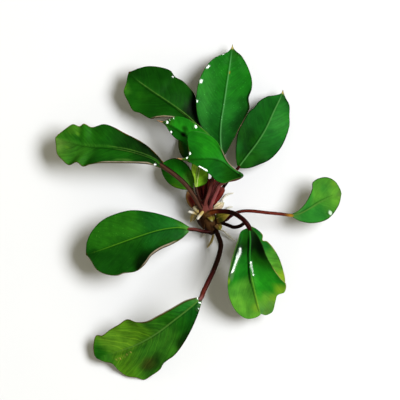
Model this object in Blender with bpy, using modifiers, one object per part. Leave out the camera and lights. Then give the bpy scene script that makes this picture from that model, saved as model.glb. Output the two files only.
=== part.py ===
"""A bare-root bucephalandra, a small aquarium plant, lying face up on a flat surface.

It is built the way the plant grows. A short creeping rhizome carries bud scales and roots,
and a leaf stalk with its leathery blade grows from it at each node. The rhizome's flat underside
is the seat: it is what the plant rests on, and what is tied or glued to wood or stone.

The frame is in metres, with +Z up and the origin on the seat. Outlines and paths are drawn on
squared paper, three squares to the millimetre, as (x, y, height) from the seat. A side named left
or right is as seen from a leaf's base, looking to its tip.
"""

import math

import bmesh
import bpy
from mathutils import Vector

# Driving dimensions: metres
SQUARE = 0.001 / 3
BLADE_THICKNESS = 0.00045
SCALE_THICKNESS = 0.0003
WELD = 0.00001

# Driving dimensions: squares
STALK_RADIUS = 1.65
ROOT_RADIUS = 1.25
GAP = 0.3
JOINT_GAP = 1.8

# Steps along and across each sheet, and along each tube
BLADE_STEPS = (15, 4)
SCALE_STEPS = (5, 2)
STALK_STEPS = 10
ROOT_STEPS = 7
RHIZOME_STEPS = 14
TUBE_ROUNDING = 2
RHIZOME_ROUNDING = 6

# The rhizome runs from its cut end to its growing tip: (x, y, height, radius), in squares
RHIZOME = [
    (3.5, -10, 7, 3), (3, -8.6, 7, 5.2), (2, -4, 7.2, 7.2), (0, 1, 7.6, 8.2), (-3, 8, 8.8, 8.8),
    (-5, 14, 11.5, 9.6), (-5.5, 18, 13, 8.6), (-6, 22, 14, 6), (-6.3, 24.5, 14.5, 2.5),
]
RING_DEPTH = 0.035
RINGS = 4

# Each leaf's blade is stretched between three lines, base to tip: middle, left and right. dish is how
# far each half sinks between them, in squares.
LEAVES = {
    "far_left": {
        "dish": 1.5,
        "middle": [(-48, 58.5, 30), (-55, 64, 30.5), (-65, 68.5, 30.5), (-80, 73, 29.5),
                   (-100, 76.5, 27.5), (-120, 78, 25.5), (-138, 81.5, 23.5), (-154.5, 87, 21.5)],
        "left": [(-49, 56.3, 30.5), (-58, 59, 33), (-70, 60.4, 34), (-90, 61, 34), (-110, 61, 33),
                 (-120, 60, 31), (-127, 58, 27), (-133, 62.2, 29), (-141, 59.4, 24), (-147, 64, 24),
                 (-152.5, 70.5, 22), (-153.7, 79, 21.5)],
        "right": [(-46.3, 61.7, 29.5), (-53, 69.5, 28), (-62, 78, 26), (-72, 84.5, 24.5),
                  (-85, 91, 24), (-96, 97, 25), (-106, 100, 26), (-118, 97, 23), (-126, 100.5, 26.5),
                  (-130.5, 98, 24), (-137, 100, 25.5), (-145, 95, 23), (-152, 89.5, 21.5)],
        "stalk": [(-8, 16, 14), (-9.5, 16.5, 20.5), (-12.5, 22, 23.5), (-16.5, 29, 26),
                  (-22, 37, 29.5), (-31, 46, 31.5), (-40, 53, 31.5)],
    },
    "upper_left": {
        "dish": 1.5,
        "middle": [(-11, 97, 25), (-23, 108.5, 25), (-40, 121, 24.5), (-60, 134.5, 22.5),
                   (-75, 145.5, 19.5), (-81.3, 152.5, 17)],
        "left": [(-13.5, 95, 24.5), (-24, 100, 23), (-34, 105.5, 24), (-47, 107, 26), (-55, 106, 24),
                 (-60, 105.5, 21), (-70, 111, 19.5), (-77, 113.5, 17.5), (-81.7, 122, 17.5),
                 (-86.3, 132, 18.5), (-83.8, 141, 17), (-82.5, 148, 17)],
        "right": [(-9, 98, 25), (-11, 106, 20), (-12.7, 116, 19), (-14, 126, 19.5), (-18, 133.5, 21),
                  (-27, 143, 22.5), (-35, 147.5, 21.5), (-39.5, 153.5, 25), (-50, 157, 23.5),
                  (-62, 158, 20.5), (-72, 155.7, 18.5), (-78.5, 153, 17.5)],
        "stalk": [(-5.5, 20, 14), (-5, 28, 14.5), (-4, 36, 16.5), (-3, 50, 19), (-3.5, 66, 22),
                  (-6, 82, 24)],
    },
    "top": {
        "dish": 1,
        "middle": [(13, 68, 26.5), (10.7, 81, 26.5), (11, 99, 26), (14, 119, 24), (17, 140, 20.5),
                   (20, 160, 15.5), (22.6, 180.3, 9)],
        "left": [(10.8, 69.5, 26.5), (4, 79, 26.8), (-4, 90, 27), (-11, 102, 27.5), (-13.8, 117, 27.5),
                 (-13.5, 132, 26), (-10.5, 145, 23.3), (-5, 156, 20), (2, 164.5, 16.5),
                 (10, 169.2, 13.5), (17.5, 172.3, 11.5), (21.3, 176.5, 10)],
        "right": [(15, 69, 26.5), (21, 80, 25.5), (28, 93, 25), (35, 106, 24.5), (39.5, 116, 23.5),
                  (38.7, 126, 21.5), (41.8, 135.5, 19.5), (41.8, 145, 17.5), (38, 157, 14.8),
                  (31.5, 168.5, 12), (25.8, 173.5, 10.6), (23.4, 176.7, 9.8)],
        "stalk": [(-6, 17, 16), (-5, 21, 20.5), (-1.5, 31, 21), (1.8, 42, 22.5), (5.5, 53, 24.5),
                  (10, 63, 26)],
    },
    "upper_right": {
        "dish": 0.8,
        "middle": [(28.7, 57, 16), (37, 68, 16), (47, 81, 15.5), (56, 95.5, 14.5), (64, 113, 13),
                   (70, 125.5, 11.5), (73.2, 134.6, 10)],
        "left": [(27, 59, 16), (25.7, 67, 16.8), (26, 79, 17), (28, 92, 16.5), (34, 104, 15.5),
                 (39.5, 113, 14.5), (44, 116.5, 14), (49, 123, 13.5), (57, 127.8, 12.5),
                 (66, 129.3, 11.5), (71.6, 131.3, 10.5)],
        "right": [(30.8, 55.7, 15.7), (39, 56, 14.8), (50, 59.8, 13.5), (60, 64.7, 12.3),
                  (69, 73.7, 11), (74.5, 83, 9.8), (79.5, 98, 9), (79.5, 109, 8.7), (79.5, 119, 9.2),
                  (75.7, 126.5, 10), (73.9, 131.2, 10)],
        "stalk": [(-1, 14, 11.5), (3.4, 18, 12), (7, 27, 13), (13.6, 37.5, 14.5), (21, 47.5, 15.5)],
    },
    "centre_back": {
        "dish": 1,
        "middle": [(15, 58, 35.5), (4, 68, 38), (-10, 79, 39), (-24, 89.5, 38), (-36, 97.5, 34.5),
                   (-45, 101.3, 31), (-53.2, 103.8, 28)],
        "left": [(13, 55.7, 35.5), (1, 58, 35), (-12, 67, 37), (-22, 77, 36), (-28, 82, 34.5),
                 (-35, 86, 32.5), (-40.5, 92.5, 31.5), (-43.7, 97.5, 31), (-46.3, 100.4, 30)],
        "right": [(17, 60, 35.5), (12, 72, 38), (4, 84, 40), (-5, 93.5, 40.5), (-15, 101, 40),
                  (-24, 105.7, 38.5), (-33, 107.5, 36), (-39, 105.5, 34), (-44, 103.5, 32),
                  (-47, 102.7, 30.5)],
        "stalk": [(-3, 16, 14), (-0.8, 21, 17), (1.2, 29, 18.8), (4.4, 38, 21.5), (10.5, 47, 27),
                  (17.5, 53.5, 34.5)],
    },
    "centre_front": {
        "dish": 1,
        "middle": [(31, 49.2, 40.4), (21, 56.5, 44), (13, 63, 47), (3, 66.2, 48), (-9, 66.3, 48),
                   (-20, 65.7, 47), (-26, 64.5, 46), (-33.2, 66, 44.5)],
        "left": [(31, 46.5, 40.2), (22, 44, 37.5), (14, 41, 36.5), (7, 43, 37.5), (0, 49.5, 40.5),
                 (-8, 55, 43), (-17, 60, 45), (-23, 63, 45.5), (-28, 64, 45.5)],
        "right": [(31.2, 51.6, 40.4), (23.5, 56.2, 44), (16.5, 64, 48), (11, 75.5, 50),
                  (4.5, 85, 50.5), (-4, 90.5, 50), (-13, 92.7, 49), (-20.5, 92, 48), (-22.4, 86, 47.5),
                  (-21.5, 77, 47), (-20, 70.5, 47), (-23, 67, 46.5), (-27, 65.5, 45.5)],
        "stalk": [(-2.5, 15, 16), (1, 19.5, 21.3), (3.4, 26, 23), (6.3, 32, 24), (9.5, 39, 26.5),
                  (17, 43.5, 29.3), (26, 45.5, 31.5), (31, 48, 34.8)],
    },
    "small_left": {
        "dish": 1,
        "middle": [(-18, 35.7, 15.5), (-26, 44, 18.5), (-36, 52.5, 17.5), (-47.7, 61, 13)],
        "left": [(-20, 34.3, 15), (-28, 34.7, 15.5), (-38, 38.2, 15), (-45.5, 46, 13.5),
                 (-49, 55.5, 12.5)],
        "right": [(-16.3, 37.5, 16), (-16, 46, 19), (-20, 56, 21), (-27, 63.2, 20.5),
                  (-35, 66, 18), (-42.5, 64.3, 15)],
        "stalk": [(-8, 13, 8), (-13, 19, 8.5), (-16, 28, 12)],
    },
    "low_back": {
        "dish": 1,
        "middle": [(-12, 58.5, 14), (-17, 71, 12), (-22, 83, 7), (-26.5, 92.5, 1.2)],
        "left": [(-14, 59.5, 14), (-23, 63, 11.5), (-29.5, 70, 9.5), (-31.7, 78, 6.5), (-31, 87, 2.5)],
        "right": [(-10, 58, 14), (-3, 66, 13.5), (-4, 77, 11), (-11, 86.5, 7), (-19, 92, 3)],
        "stalk": [(-5, 17, 8), (-6.5, 25, 8), (-9, 36, 10.5), (-11, 48, 13)],
    },
    "young": {
        "dish": 1.5,
        "middle": [(-14, 37, 21.5), (-13.2, 46, 25), (-11.5, 56, 29.5), (-10.5, 67.5, 33.5)],
        "left": [(-15.5, 37.5, 22), (-16, 45.5, 26.5), (-18.7, 55.5, 31), (-16.5, 63, 33.5)],
        "right": [(-12, 37.2, 21.8), (-4.5, 40.5, 24), (-1.7, 47, 26), (-3.5, 56, 29), (-7, 63.5, 32)],
        "stalk": [(-8, 18, 15), (-9.7, 22.4, 19.2), (-12, 29, 21.5)],
    },
    "left": {
        "dish": 1.5,
        "middle": [(-20.5, -5, 17), (-32, -3.3, 20.5), (-50, -5.7, 23.5), (-70, -11.7, 25.5),
                   (-92, -19.5, 26), (-110, -26, 25), (-124, -30.5, 23.5)],
        "left": [(-21, -7.2, 17), (-28, -13.8, 19.5), (-38, -20, 23.5), (-50, -25.5, 27),
                 (-59, -32, 29.5), (-65.5, -40.5, 28.5), (-74, -46.7, 26), (-86, -48.8, 25),
                 (-93, -51, 24), (-104, -49.7, 23.5), (-113, -45, 23.5), (-118.5, -36.5, 23.5),
                 (-121.7, -32, 23.5)],
        "right": [(-20.5, -2.8, 17), (-30, 3, 20), (-45, 8.7, 23), (-62, 12.7, 25), (-79, 14, 26.5),
                  (-94, 10.5, 26.5), (-107, 4.5, 26), (-117.5, -6, 25), (-123, -17.5, 24),
                  (-124, -26, 23.5)],
        "stalk": [(1.5, -7.5, 11), (-5, -7.5, 13), (-10, -6.5, 14), (-15, -5.3, 15.5)],
    },
    "bottom_left": {
        "dish": 1.5,
        "middle": [(-9, -73.3, 49), (-18, -81.5, 47.5), (-35, -95, 41.5), (-55, -110, 32),
                   (-75, -121, 22.5), (-95, -128, 14.5), (-113.5, -134.3, 9)],
        "left": [(-7.7, -75.3, 49), (-11, -87, 45), (-17.5, -103, 37.5), (-26, -118.5, 28),
                 (-35, -130.5, 20), (-46, -139, 14.5), (-50, -145.5, 10), (-59, -152, 4.5),
                 (-66, -156, 0.8), (-73, -153.8, 2), (-83, -152.3, 3), (-92, -146, 5),
                 (-98, -139.6, 7), (-106, -137.7, 8)],
        "right": [(-11.2, -72.2, 49), (-24, -75.5, 47), (-38, -83.3, 42.5), (-53, -91.5, 37.5),
                  (-64, -97, 33.5), (-74, -97.7, 29.5), (-83, -95, 25.5), (-91, -100, 21.5),
                  (-100, -105.3, 17.5), (-108, -111.3, 14), (-114, -111.3, 12), (-116.7, -121, 10),
                  (-116, -130.5, 9)],
        "stalk": [(4, -4, 10), (7, -9, 14), (9, -14, 17.5), (10.8, -20, 21), (9.5, -29, 27),
                  (6.6, -38, 33.5), (2.6, -48, 41), (-2.2, -58, 47.5), (-6.5, -67, 49.7)],
    },
    "lower_right_front": {
        "dish": 1.2,
        "middle": [(39.3, -3.8, 35), (40.2, -16, 34.5), (39.7, -33, 32.5), (41, -51, 30),
                   (44.5, -67, 25.5), (48, -81, 19.5), (51, -89.7, 15)],
        "left": [(41.3, -3.3, 34.5), (47, -10, 34), (52, -19.5, 36), (56.5, -32, 37.5),
                 (63, -43.5, 36), (71, -54.5, 31.5), (76, -60, 28), (74.3, -68, 24), (67.5, -71, 22.5),
                 (65.3, -78, 19.5), (62.5, -87.5, 15), (56, -91, 14)],
        "right": [(37.3, -3.7, 34.5), (31, -7, 34), (27.5, -16.5, 34), (23.5, -29, 34.5),
                  (20, -42, 35), (17.7, -56, 34), (18.5, -71, 28.5), (23.5, -83.5, 21.5),
                  (30, -91, 17), (36.5, -94.5, 14.5), (44, -94, 14), (49, -91.8, 14.5)],
        "stalk": [(-3.5, 9, 13), (-1, 11, 20.5), (4, 12.6, 24), (10, 13, 27), (17, 12.6, 30.5),
                  (24, 10.8, 33.5), (31, 6.4, 35.5), (36.3, 1.3, 36)],
    },
    "lower_right_back": {
        "dish": 1,
        "middle": [(38, -2.5, 19), (43, -14, 20.5), (49, -28, 19), (57, -42, 15), (65, -55, 9),
                   (73, -67.5, 3)],
        "left": [(40, -1.4, 19), (46, -4.3, 19.5), (52.7, -10.5, 18.5), (52.8, -16, 18),
                 (57, -17, 17.5), (63.5, -24, 16.5), (69.5, -34.5, 13.5), (73.3, -46, 9.5),
                 (75.3, -57, 5.5)],
        "right": [(37, -4.2, 19), (34, -16, 19), (38, -33, 16.5), (46, -48, 11.5), (56, -59, 6),
                  (65, -65, 2.5)],
        "stalk": [(4, 0, 6), (12, 1, 8.5), (18, -1, 11.5), (24, -3, 14.5), (30, -1.8, 17),
                  (35, 1, 18.7)],
    },
    "small_right": {
        "dish": 1,
        "middle": [(82.5, 8.8, 20.5), (90, 10.7, 21.5), (100, 16, 22), (110, 22, 21.5),
                   (121, 27, 20.5), (131.5, 30.5, 19)],
        "left": [(82.7, 10.8, 20.5), (88, 13.5, 22), (95, 20.5, 23), (100.3, 30, 24),
                 (102.4, 36.5, 24), (102.5, 41.5, 23.5), (108, 45.7, 22.5), (117, 47, 21.5),
                 (125, 43, 20.5), (130, 35.5, 19.5)],
        "right": [(82.8, 6.7, 20.5), (90, 3, 20.5), (100, 1, 20), (110, 2, 19.5), (118, 5.3, 19),
                  (124.5, 12, 18.5), (129.5, 21, 18.5)],
        "stalk": [(5, 5, 9.5), (11, 4, 12), (15.5, 4, 13.5), (20.5, 8, 15.5), (27, 11.8, 19),
                  (34, 13.2, 21.5), (44, 13, 23), (56, 11.6, 23), (70, 10.3, 22)],
    },
}

# The bud scales that wrap the rhizome, drawn as the leaves are
SCALES = {
    "red_left": {
        "middle": [(-15, 18.5, 13), (-18, 25, 16), (-21, 34, 16)],
        "left": [(-16.5, 14.5, 9.5), (-22, 20, 11), (-24.3, 27, 13), (-23.5, 32, 15)],
        "right": [(-12.6, 21, 15.5), (-13.8, 26, 17.5), (-16.5, 32, 17.5)],
    },
    "red_right": {
        "middle": [(3.2, 20.5, 16.8), (8.2, 28, 17.4), (14.6, 36, 18)],
        "left": [(2.4, 22.6, 17.4), (5.6, 30, 18), (11.2, 37.5, 18.4)],
        "right": [(4.6, 18.8, 16.4), (10.8, 26, 16.8), (14.8, 33, 17.6)],
    },
    "red_back": {
        "middle": [(-4.5, 24.5, 5.6), (-2.5, 35, 6), (2.5, 46, 7)],
        "left": [(-10, 24, 5.4), (-13.5, 34, 5.6), (-9, 43, 6.4)],
        "right": [(3, 21, 5.6), (9.5, 31, 6), (10, 41, 6.6)],
    },
    "straw": {
        "middle": [(3.2, 15, 16.2), (8.7, 17.6, 15), (14.5, 21.8, 13)],
        "left": [(3.6, 18.2, 15.6), (8, 22, 14.4)],
        "right": [(5.4, 12.3, 15.4), (12.4, 16, 13.6)],
    },
    "green_top": {
        "middle": [(0.8, 8.8, 20.4), (1.9, 5.3, 19.6), (2.5, 2.2, 18.3)],
        "left": [(4.4, 9.6, 19.8), (4.6, 5.8, 18.6)],
        "right": [(-2.8, 7.2, 20.4), (-0.4, 4.2, 19.3)],
    },
    "green_right": {
        "middle": [(6.3, 5.5, 16), (12, 7.6, 18.5), (20, 9.8, 20.5)],
        "left": [(5.8, 10.6, 16.8), (12, 11.8, 19)],
        "right": [(7, 0.4, 15), (14, 3.6, 18)],
    },
    "green_lower": {
        "middle": [(6.8, 0, 15.4), (9, -3, 14), (10.3, -6.3, 12.8)],
        "left": [(11, 1, 13.8), (12.2, -2.5, 12.8)],
        "right": [(4, -2, 17.2), (7, -5, 16)],
    },
    "brown_left": {
        "middle": [(-10.6, 6, 16.4), (-8.7, 0, 15.7), (-6, -5.5, 15)],
        "left": [(-7.2, 7, 19.5), (-5.2, 0.5, 17.9)],
        "right": [(-13.8, 5, 12), (-11.4, 0, 11.2)],
    },
}

# The roots, from inside the rhizome to their tips
ROOTS = {
    "stub_left": [(-6, 7, 11), (-14, 10.6, 15.5), (-22, 12.6, 15)],
    "stub_cream": [(-7, 9.5, 13), (-11.5, 12.5, 17), (-16.3, 17.8, 17.8)],
    "stub_white": [(-5.5, 11, 14), (-7.3, 12, 20), (-10.6, 8.2, 20.6), (-13, 4.8, 19.4)],
    "left": [(-5, 7, 9), (-13.5, 12, 11.5), (-17.3, 8, 8.5), (-19.5, 2, 4)],
    "far_left": [(-5, 9, 4), (-12, 8, 3.2), (-17, 3, 1.8)],
    "upper_left": [(-5, 14, 5), (-12, 20, 4.6), (-19, 26, 3), (-23, 35, 1.3)],
    "bottom": [(2, -6, 6), (3, -12, 6), (1, -18, 4.4), (-3, -24, 2)],
    "bottom_right": [(4.5, -5.5, 5), (8, -12.5, 4), (9.5, -17, 2.5), (10, -22, 1.3)],
    "lower_left": [(-1, -3, 4), (-4.5, -9, 3.4), (-8.5, -13.5, 1.8)],
    "lower_right": [(5, -4, 6), (12.5, -6.5, 5), (18, -11, 3), (25, -17, 1.4)],
    "curl_right": [(-1, 10, 5), (8, 14, 4), (12.4, 19.5, 3.4), (13, 25, 2.6), (17, 29.5, 2), (24, 31.4, 1.3)],
    "right": [(1, 5, 4.5), (9, 7.5, 4.4), (15, 12, 3.2), (18, 16.4, 2.2), (23, 17.4, 1.3)],
    "upper_right": [(-3, 14, 5), (1.5, 20, 3), (4, 26, 2), (6, 31, 1.3)],
}

# Root and stalk thickness against the usual one, where it differs
THICK_ROOTS = {"stub_cream": 1.5, "stub_white": 1.1, "left": 1.3, "upper_right": 1.2}
STOUT = {"lower_right_front": 1.45, "bottom_left": 1.5, "far_left": 1.5, "centre_front": 1.25, "top": 1.2,
         "left": 1.15, "lower_right_back": 1.1, "young": 0.8, "low_back": 0.8, "small_left": 0.8}
FLARE = 1.2
TAPER = 0.8


def smooth_path(points):
    """A function of a share from 0 to 1 that runs smoothly through the points, by their distance apart."""
    points = [Vector(p) for p in points]
    marks = [0.0]
    for a, b in zip(points, points[1:]):
        marks.append(marks[-1] + (b - a).length)
    slopes = []
    for i in range(len(points)):
        before, after = max(i - 1, 0), min(i + 1, len(points) - 1)
        slopes.append((points[after] - points[before]) / (marks[after] - marks[before]))

    def at(share):
        place = share * marks[-1]
        i = max(k for k in range(len(points) - 1) if marks[k] <= place)
        step = marks[i + 1] - marks[i]
        u = (place - marks[i]) / step
        return (points[i] * (2 * u**3 - 3 * u**2 + 1) + slopes[i] * step * (u**3 - 2 * u**2 + u)
                + points[i + 1] * (3 * u**2 - 2 * u**3) + slopes[i + 1] * step * (u**3 - u**2))

    return at


def finish(name, colour, roughness):
    """A plain material with one colour."""
    material = bpy.data.materials.new(name)
    material.use_nodes = True
    shader = material.node_tree.nodes["Principled BSDF"]
    shader.inputs["Base Color"].default_value = (*colour, 1)
    shader.inputs["Roughness"].default_value = roughness
    shader.inputs["Metallic"].default_value = 0
    return material


def place(obj, collection, material):
    """Gives an object its material and puts it in a collection."""
    obj.data.materials.append(material)
    collection.objects.link(obj)
    return obj


def sheet(name, lines, dish, thickness, steps, collection, material):
    """A thin curved sheet stretched between its left, middle and right lines, which meet at the tip."""
    along, across = steps
    tip = lines["middle"][-1]
    middle = smooth_path(lines["middle"])
    sides = {-1: smooth_path([*lines["left"], tip]), 1: smooth_path([*lines["right"], tip])}
    mesh = bpy.data.meshes.new(name)
    grid = bmesh.new()
    bmesh.ops.create_grid(grid, x_segments=along, y_segments=across, size=1)
    for vertex in grid.verts:
        share = (vertex.co.x + 1) / 2
        out = abs(vertex.co.y)
        edge = sides[1 if vertex.co.y < 0 else -1](share)
        centre = middle(share)
        sag = dish * 4 * out * (1 - out) * 4 * share * (1 - share)
        vertex.co = (centre.lerp(edge, out) - Vector((0, 0, sag))) * SQUARE
    bmesh.ops.remove_doubles(grid, verts=grid.verts, dist=WELD)
    grid.to_mesh(mesh)
    grid.free()
    mesh.shade_smooth()
    obj = place(bpy.data.objects.new(name, mesh), collection, material)
    shell = obj.modifiers.new("thickness", "SOLIDIFY")
    shell.thickness = thickness
    shell.offset = 0
    return obj


def tube(name, stations, steps, rounding, collection, material):
    """A solid round stem that runs smoothly through its stations, each (x, y, height, radius) in squares."""
    path = smooth_path(stations)
    curve = bpy.data.curves.new(name, "CURVE")
    curve.dimensions = "3D"
    curve.bevel_depth = 1
    curve.bevel_resolution = rounding
    curve.use_fill_caps = True
    spline = curve.splines.new("POLY")
    spline.points.add(steps - 1)
    for i, point in enumerate(spline.points):
        station = path(i / (steps - 1)) * SQUARE
        point.co = (*station.xyz, 1)
        point.radius = station.w
    source = bpy.data.objects.new(name + "_line", curve)
    bpy.context.scene.collection.objects.link(source)
    bpy.context.view_layer.update()
    evaluated = source.evaluated_get(bpy.context.evaluated_depsgraph_get())
    mesh = bpy.data.meshes.new_from_object(evaluated)
    mesh.name = name
    bpy.data.objects.remove(source)
    body = bmesh.new()
    body.from_mesh(mesh)
    bmesh.ops.remove_doubles(body, verts=body.verts, dist=WELD)
    body.to_mesh(mesh)
    body.free()
    mesh.shade_smooth()
    return place(bpy.data.objects.new(name, mesh), collection, material)


def rhizome_body(name, extra, collection, material):
    """The creeping stem with its faint rings, flattened underneath where it sits. extra, in squares, is
    added all round."""
    path = smooth_path(RHIZOME)
    stations = []
    for i in range(RHIZOME_STEPS):
        share = i / (RHIZOME_STEPS - 1)
        station = path(share)
        station.w *= 1 + RING_DEPTH * math.sin(2 * math.pi * RINGS * share)
        station.w += extra
        stations.append(station)
    first = (stations[0] - stations[1]).xyz.normalized() * extra
    last = (stations[-1] - stations[-2]).xyz.normalized() * extra
    stations[0] += Vector((*first, 0))
    stations[-1] += Vector((*last, 0))
    stem = tube(name, stations, RHIZOME_STEPS, RHIZOME_ROUNDING, collection, material)
    for vertex in stem.data.vertices:
        vertex.co.z = max(vertex.co.z, -extra * SQUARE)
    return stem


def cut_by(obj, cutter):
    """Trims what lies inside the cutter off an object."""
    cut = obj.modifiers.new("cut", "BOOLEAN")
    cut.operation = "DIFFERENCE"
    cut.object = cutter


def leaf(name, lines, collection, finishes, cutter):
    """One leaf: its blade, and its stalk from inside the rhizome to just short of the blade's base."""
    sheet("leaf_" + name, lines, lines["dish"], BLADE_THICKNESS, BLADE_STEPS, collection, finishes["leaf"])
    base = Vector(lines["middle"][0])
    backwards = (Vector(lines["stalk"][-1]) - base).normalized()
    radius = STALK_RADIUS * STOUT.get(name, 1)
    stations = [(*point, radius) for point in [*lines["stalk"], base + backwards * JOINT_GAP]]
    stations[0] = (*lines["stalk"][0], radius * FLARE)
    stations[-1] = (*stations[-1][:3], radius * TAPER)
    stalk = tube("stalk_" + name, stations, STALK_STEPS, TUBE_ROUNDING, collection, finishes["stalk"])
    cut_by(stalk, cutter)


def main():
    for obj in list(bpy.data.objects):
        bpy.data.objects.remove(obj)
    plant = bpy.data.collections.new("bucephalandra")
    cutters = bpy.data.collections.new("cutters")
    for collection in (plant, cutters):
        bpy.context.scene.collection.children.link(collection)
    finishes = {
        "leaf": finish("leaf green", (0.03, 0.16, 0.02), 0.35),
        "stalk": finish("stalk maroon", (0.11, 0.03, 0.02), 0.4),
        "scale": finish("scale olive", (0.22, 0.17, 0.04), 0.5),
        "root": finish("root cream", (0.6, 0.5, 0.3), 0.6),
        "rhizome": finish("rhizome brown", (0.09, 0.05, 0.02), 0.6),
    }
    rhizome_body("rhizome", 0, plant, finishes["rhizome"])
    cutter = rhizome_body("rhizome_cutter", GAP, cutters, finishes["rhizome"])
    cutter.hide_render = True
    cutter.display_type = "WIRE"
    for name, lines in LEAVES.items():
        leaf(name, lines, plant, finishes, cutter)
    for name, lines in SCALES.items():
        sheet("scale_" + name, lines, 0, SCALE_THICKNESS, SCALE_STEPS, plant, finishes["scale"])
    for name, points in ROOTS.items():
        radius = ROOT_RADIUS * THICK_ROOTS.get(name, 1)
        stations = [(*point, radius) for point in points]
        stations[-1] = (*points[-1], radius * TAPER)
        root = tube("root_" + name, stations, ROOT_STEPS, TUBE_ROUNDING, plant, finishes["root"])
        cut_by(root, cutter)


main()
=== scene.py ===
# %% [markdown]
# # A bucephalandra, bare-root on a white table
#
# Bucephalandra is a small aquarium plant with leathery leaves. This one lies face up with its roots washed
# clean, and the camera looks straight down on it. Its exact solids come in as a fixed frame. This script
# grows a finer skin over each of them: blades with midribs, veins and rolled margins, channelled stalks,
# a ringed rhizome, papery scales and hairy roots.
#
# Each step is a cell. A text cell says what the piece is on the living plant, how it could be made in
# Blender, and why it is made this way.

# %% The frame
import math
import random
from typing import NamedTuple

import bmesh
import bpy
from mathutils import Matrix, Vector, noise


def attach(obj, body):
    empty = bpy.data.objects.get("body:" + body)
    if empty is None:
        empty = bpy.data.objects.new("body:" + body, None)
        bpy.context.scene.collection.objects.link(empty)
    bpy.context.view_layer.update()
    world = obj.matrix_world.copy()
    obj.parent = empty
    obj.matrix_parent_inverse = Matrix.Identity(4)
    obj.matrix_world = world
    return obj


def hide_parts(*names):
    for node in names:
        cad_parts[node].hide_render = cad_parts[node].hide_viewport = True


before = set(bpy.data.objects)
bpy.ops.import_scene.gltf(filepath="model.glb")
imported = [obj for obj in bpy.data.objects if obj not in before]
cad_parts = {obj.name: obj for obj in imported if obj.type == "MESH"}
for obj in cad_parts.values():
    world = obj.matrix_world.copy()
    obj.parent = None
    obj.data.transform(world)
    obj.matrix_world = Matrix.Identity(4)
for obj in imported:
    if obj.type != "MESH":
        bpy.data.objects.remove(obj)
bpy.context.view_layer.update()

print("nodes in the frame:", len(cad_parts))

# %% [markdown]
# ## Measures
#
# The plant is drawn on squared paper, three squares to the millimetre, with the rhizome's flat underside
# at the origin. One pixel of the photograph is one square, so an outline read from the picture is already
# a real size. All lengths below are in squares unless a line says otherwise.

# %% Measures
SQUARE = 0.001 / 3
PICTURE_WIDTH = 400
PICTURE_MIDDLE = Vector((-10, 24.2, 0))
print(f"one square is {SQUARE * 1000:.3f} mm")

# %% [markdown]
# ## Camera
#
# The photograph looks straight down. A camera with a long lens, far away, sees the plant with almost no
# perspective, so the outlines stay where they were drawn. The lens follows from the distance and the width
# that the picture has to take in.

# %% Camera
CAMERA_HEIGHT = 3.0
LEAF_LEVEL = 15 * SQUARE
camera_data = bpy.data.cameras.new("camera")
camera_data.lens = camera_data.sensor_width * (CAMERA_HEIGHT - LEAF_LEVEL) / (PICTURE_WIDTH * SQUARE)
camera = bpy.data.objects.new("camera", camera_data)
camera.location = PICTURE_MIDDLE * SQUARE + Vector((0, 0, CAMERA_HEIGHT))
bpy.context.scene.collection.objects.link(camera)
bpy.context.scene.camera = camera
bpy.context.scene.view_settings.view_transform = "Standard"
print(f"lens {camera_data.lens:.0f} mm")

# %% [markdown]
# ## Small tools for node trees
#
# A material is a tree of nodes. Python can write such a tree as plain sums, once a socket knows how to add
# and multiply. That is what a wire is here.

# %% Tools for node trees
class Wire:
    """A value in a node tree. Wires add, subtract, multiply, divide and take powers as numbers do."""

    def __init__(self, tree, socket):
        self.tree = tree
        self.socket = socket

    def __add__(self, other):
        return reckon(self.tree, "ADD", self, other)

    def __sub__(self, other):
        return reckon(self.tree, "SUBTRACT", self, other)

    def __rsub__(self, other):
        return reckon(self.tree, "SUBTRACT", other, self)

    def __mul__(self, other):
        return reckon(self.tree, "MULTIPLY", self, other)

    def __truediv__(self, other):
        return reckon(self.tree, "DIVIDE", self, other)

    def __rtruediv__(self, other):
        return reckon(self.tree, "DIVIDE", other, self)

    def __pow__(self, other):
        return reckon(self.tree, "POWER", self, other)

    def __abs__(self):
        return reckon(self.tree, "ABSOLUTE", self)


def feed(tree, socket, value):
    """Joins a socket to a wire or another socket, or sets it to a number, a vector or a colour."""
    if isinstance(value, Wire):
        value = value.socket
    if isinstance(value, bpy.types.NodeSocket):
        tree.links.new(value, socket)
    elif socket.type == "RGBA":
        socket.default_value = (*value[:3], 1)
    else:
        socket.default_value = value


def reckon(tree, operation, *values):
    """A Math node's result."""
    node = tree.nodes.new("ShaderNodeMath")
    node.operation = operation
    for socket, value in zip(node.inputs, values):
        feed(tree, socket, value)
    return Wire(tree, node.outputs[0])


# %% [markdown]
# ## Steps, colours and noise in a tree
#
# A few kinds of node do most of the work on a plant's skin: a soft step, a blend of two colours, noise, and
# values that the mesh carries. Each gets a short function, so that a skin reads like a recipe.

# %% Steps, colours and noise
def rise(tree, value, low, high):
    """0 below low and 1 above high, with a soft step between them."""
    node = tree.nodes.new("ShaderNodeMapRange")
    node.interpolation_type = "SMOOTHSTEP"
    feed(tree, node.inputs["Value"], value)
    feed(tree, node.inputs["From Min"], low)
    feed(tree, node.inputs["From Max"], high)
    return Wire(tree, node.outputs["Result"])


def blend(tree, factor, first, second, how="MIX"):
    """Two colours blended by a factor."""
    node = tree.nodes.new("ShaderNodeMix")
    node.data_type = "RGBA"
    node.blend_type = how
    sockets = {socket.identifier: socket for socket in node.inputs}
    feed(tree, sockets["Factor_Float"], factor)
    feed(tree, sockets["A_Color"], first)
    feed(tree, sockets["B_Color"], second)
    return Wire(tree, next(socket for socket in node.outputs if socket.identifier == "Result_Color"))


def tinted(tree, colour, by):
    """A colour multiplied by another one, or by a wire that carries a number."""
    return blend(tree, 1.0, colour, join(tree, by, by, by) if isinstance(by, Wire) else by, "MULTIPLY")


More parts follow.
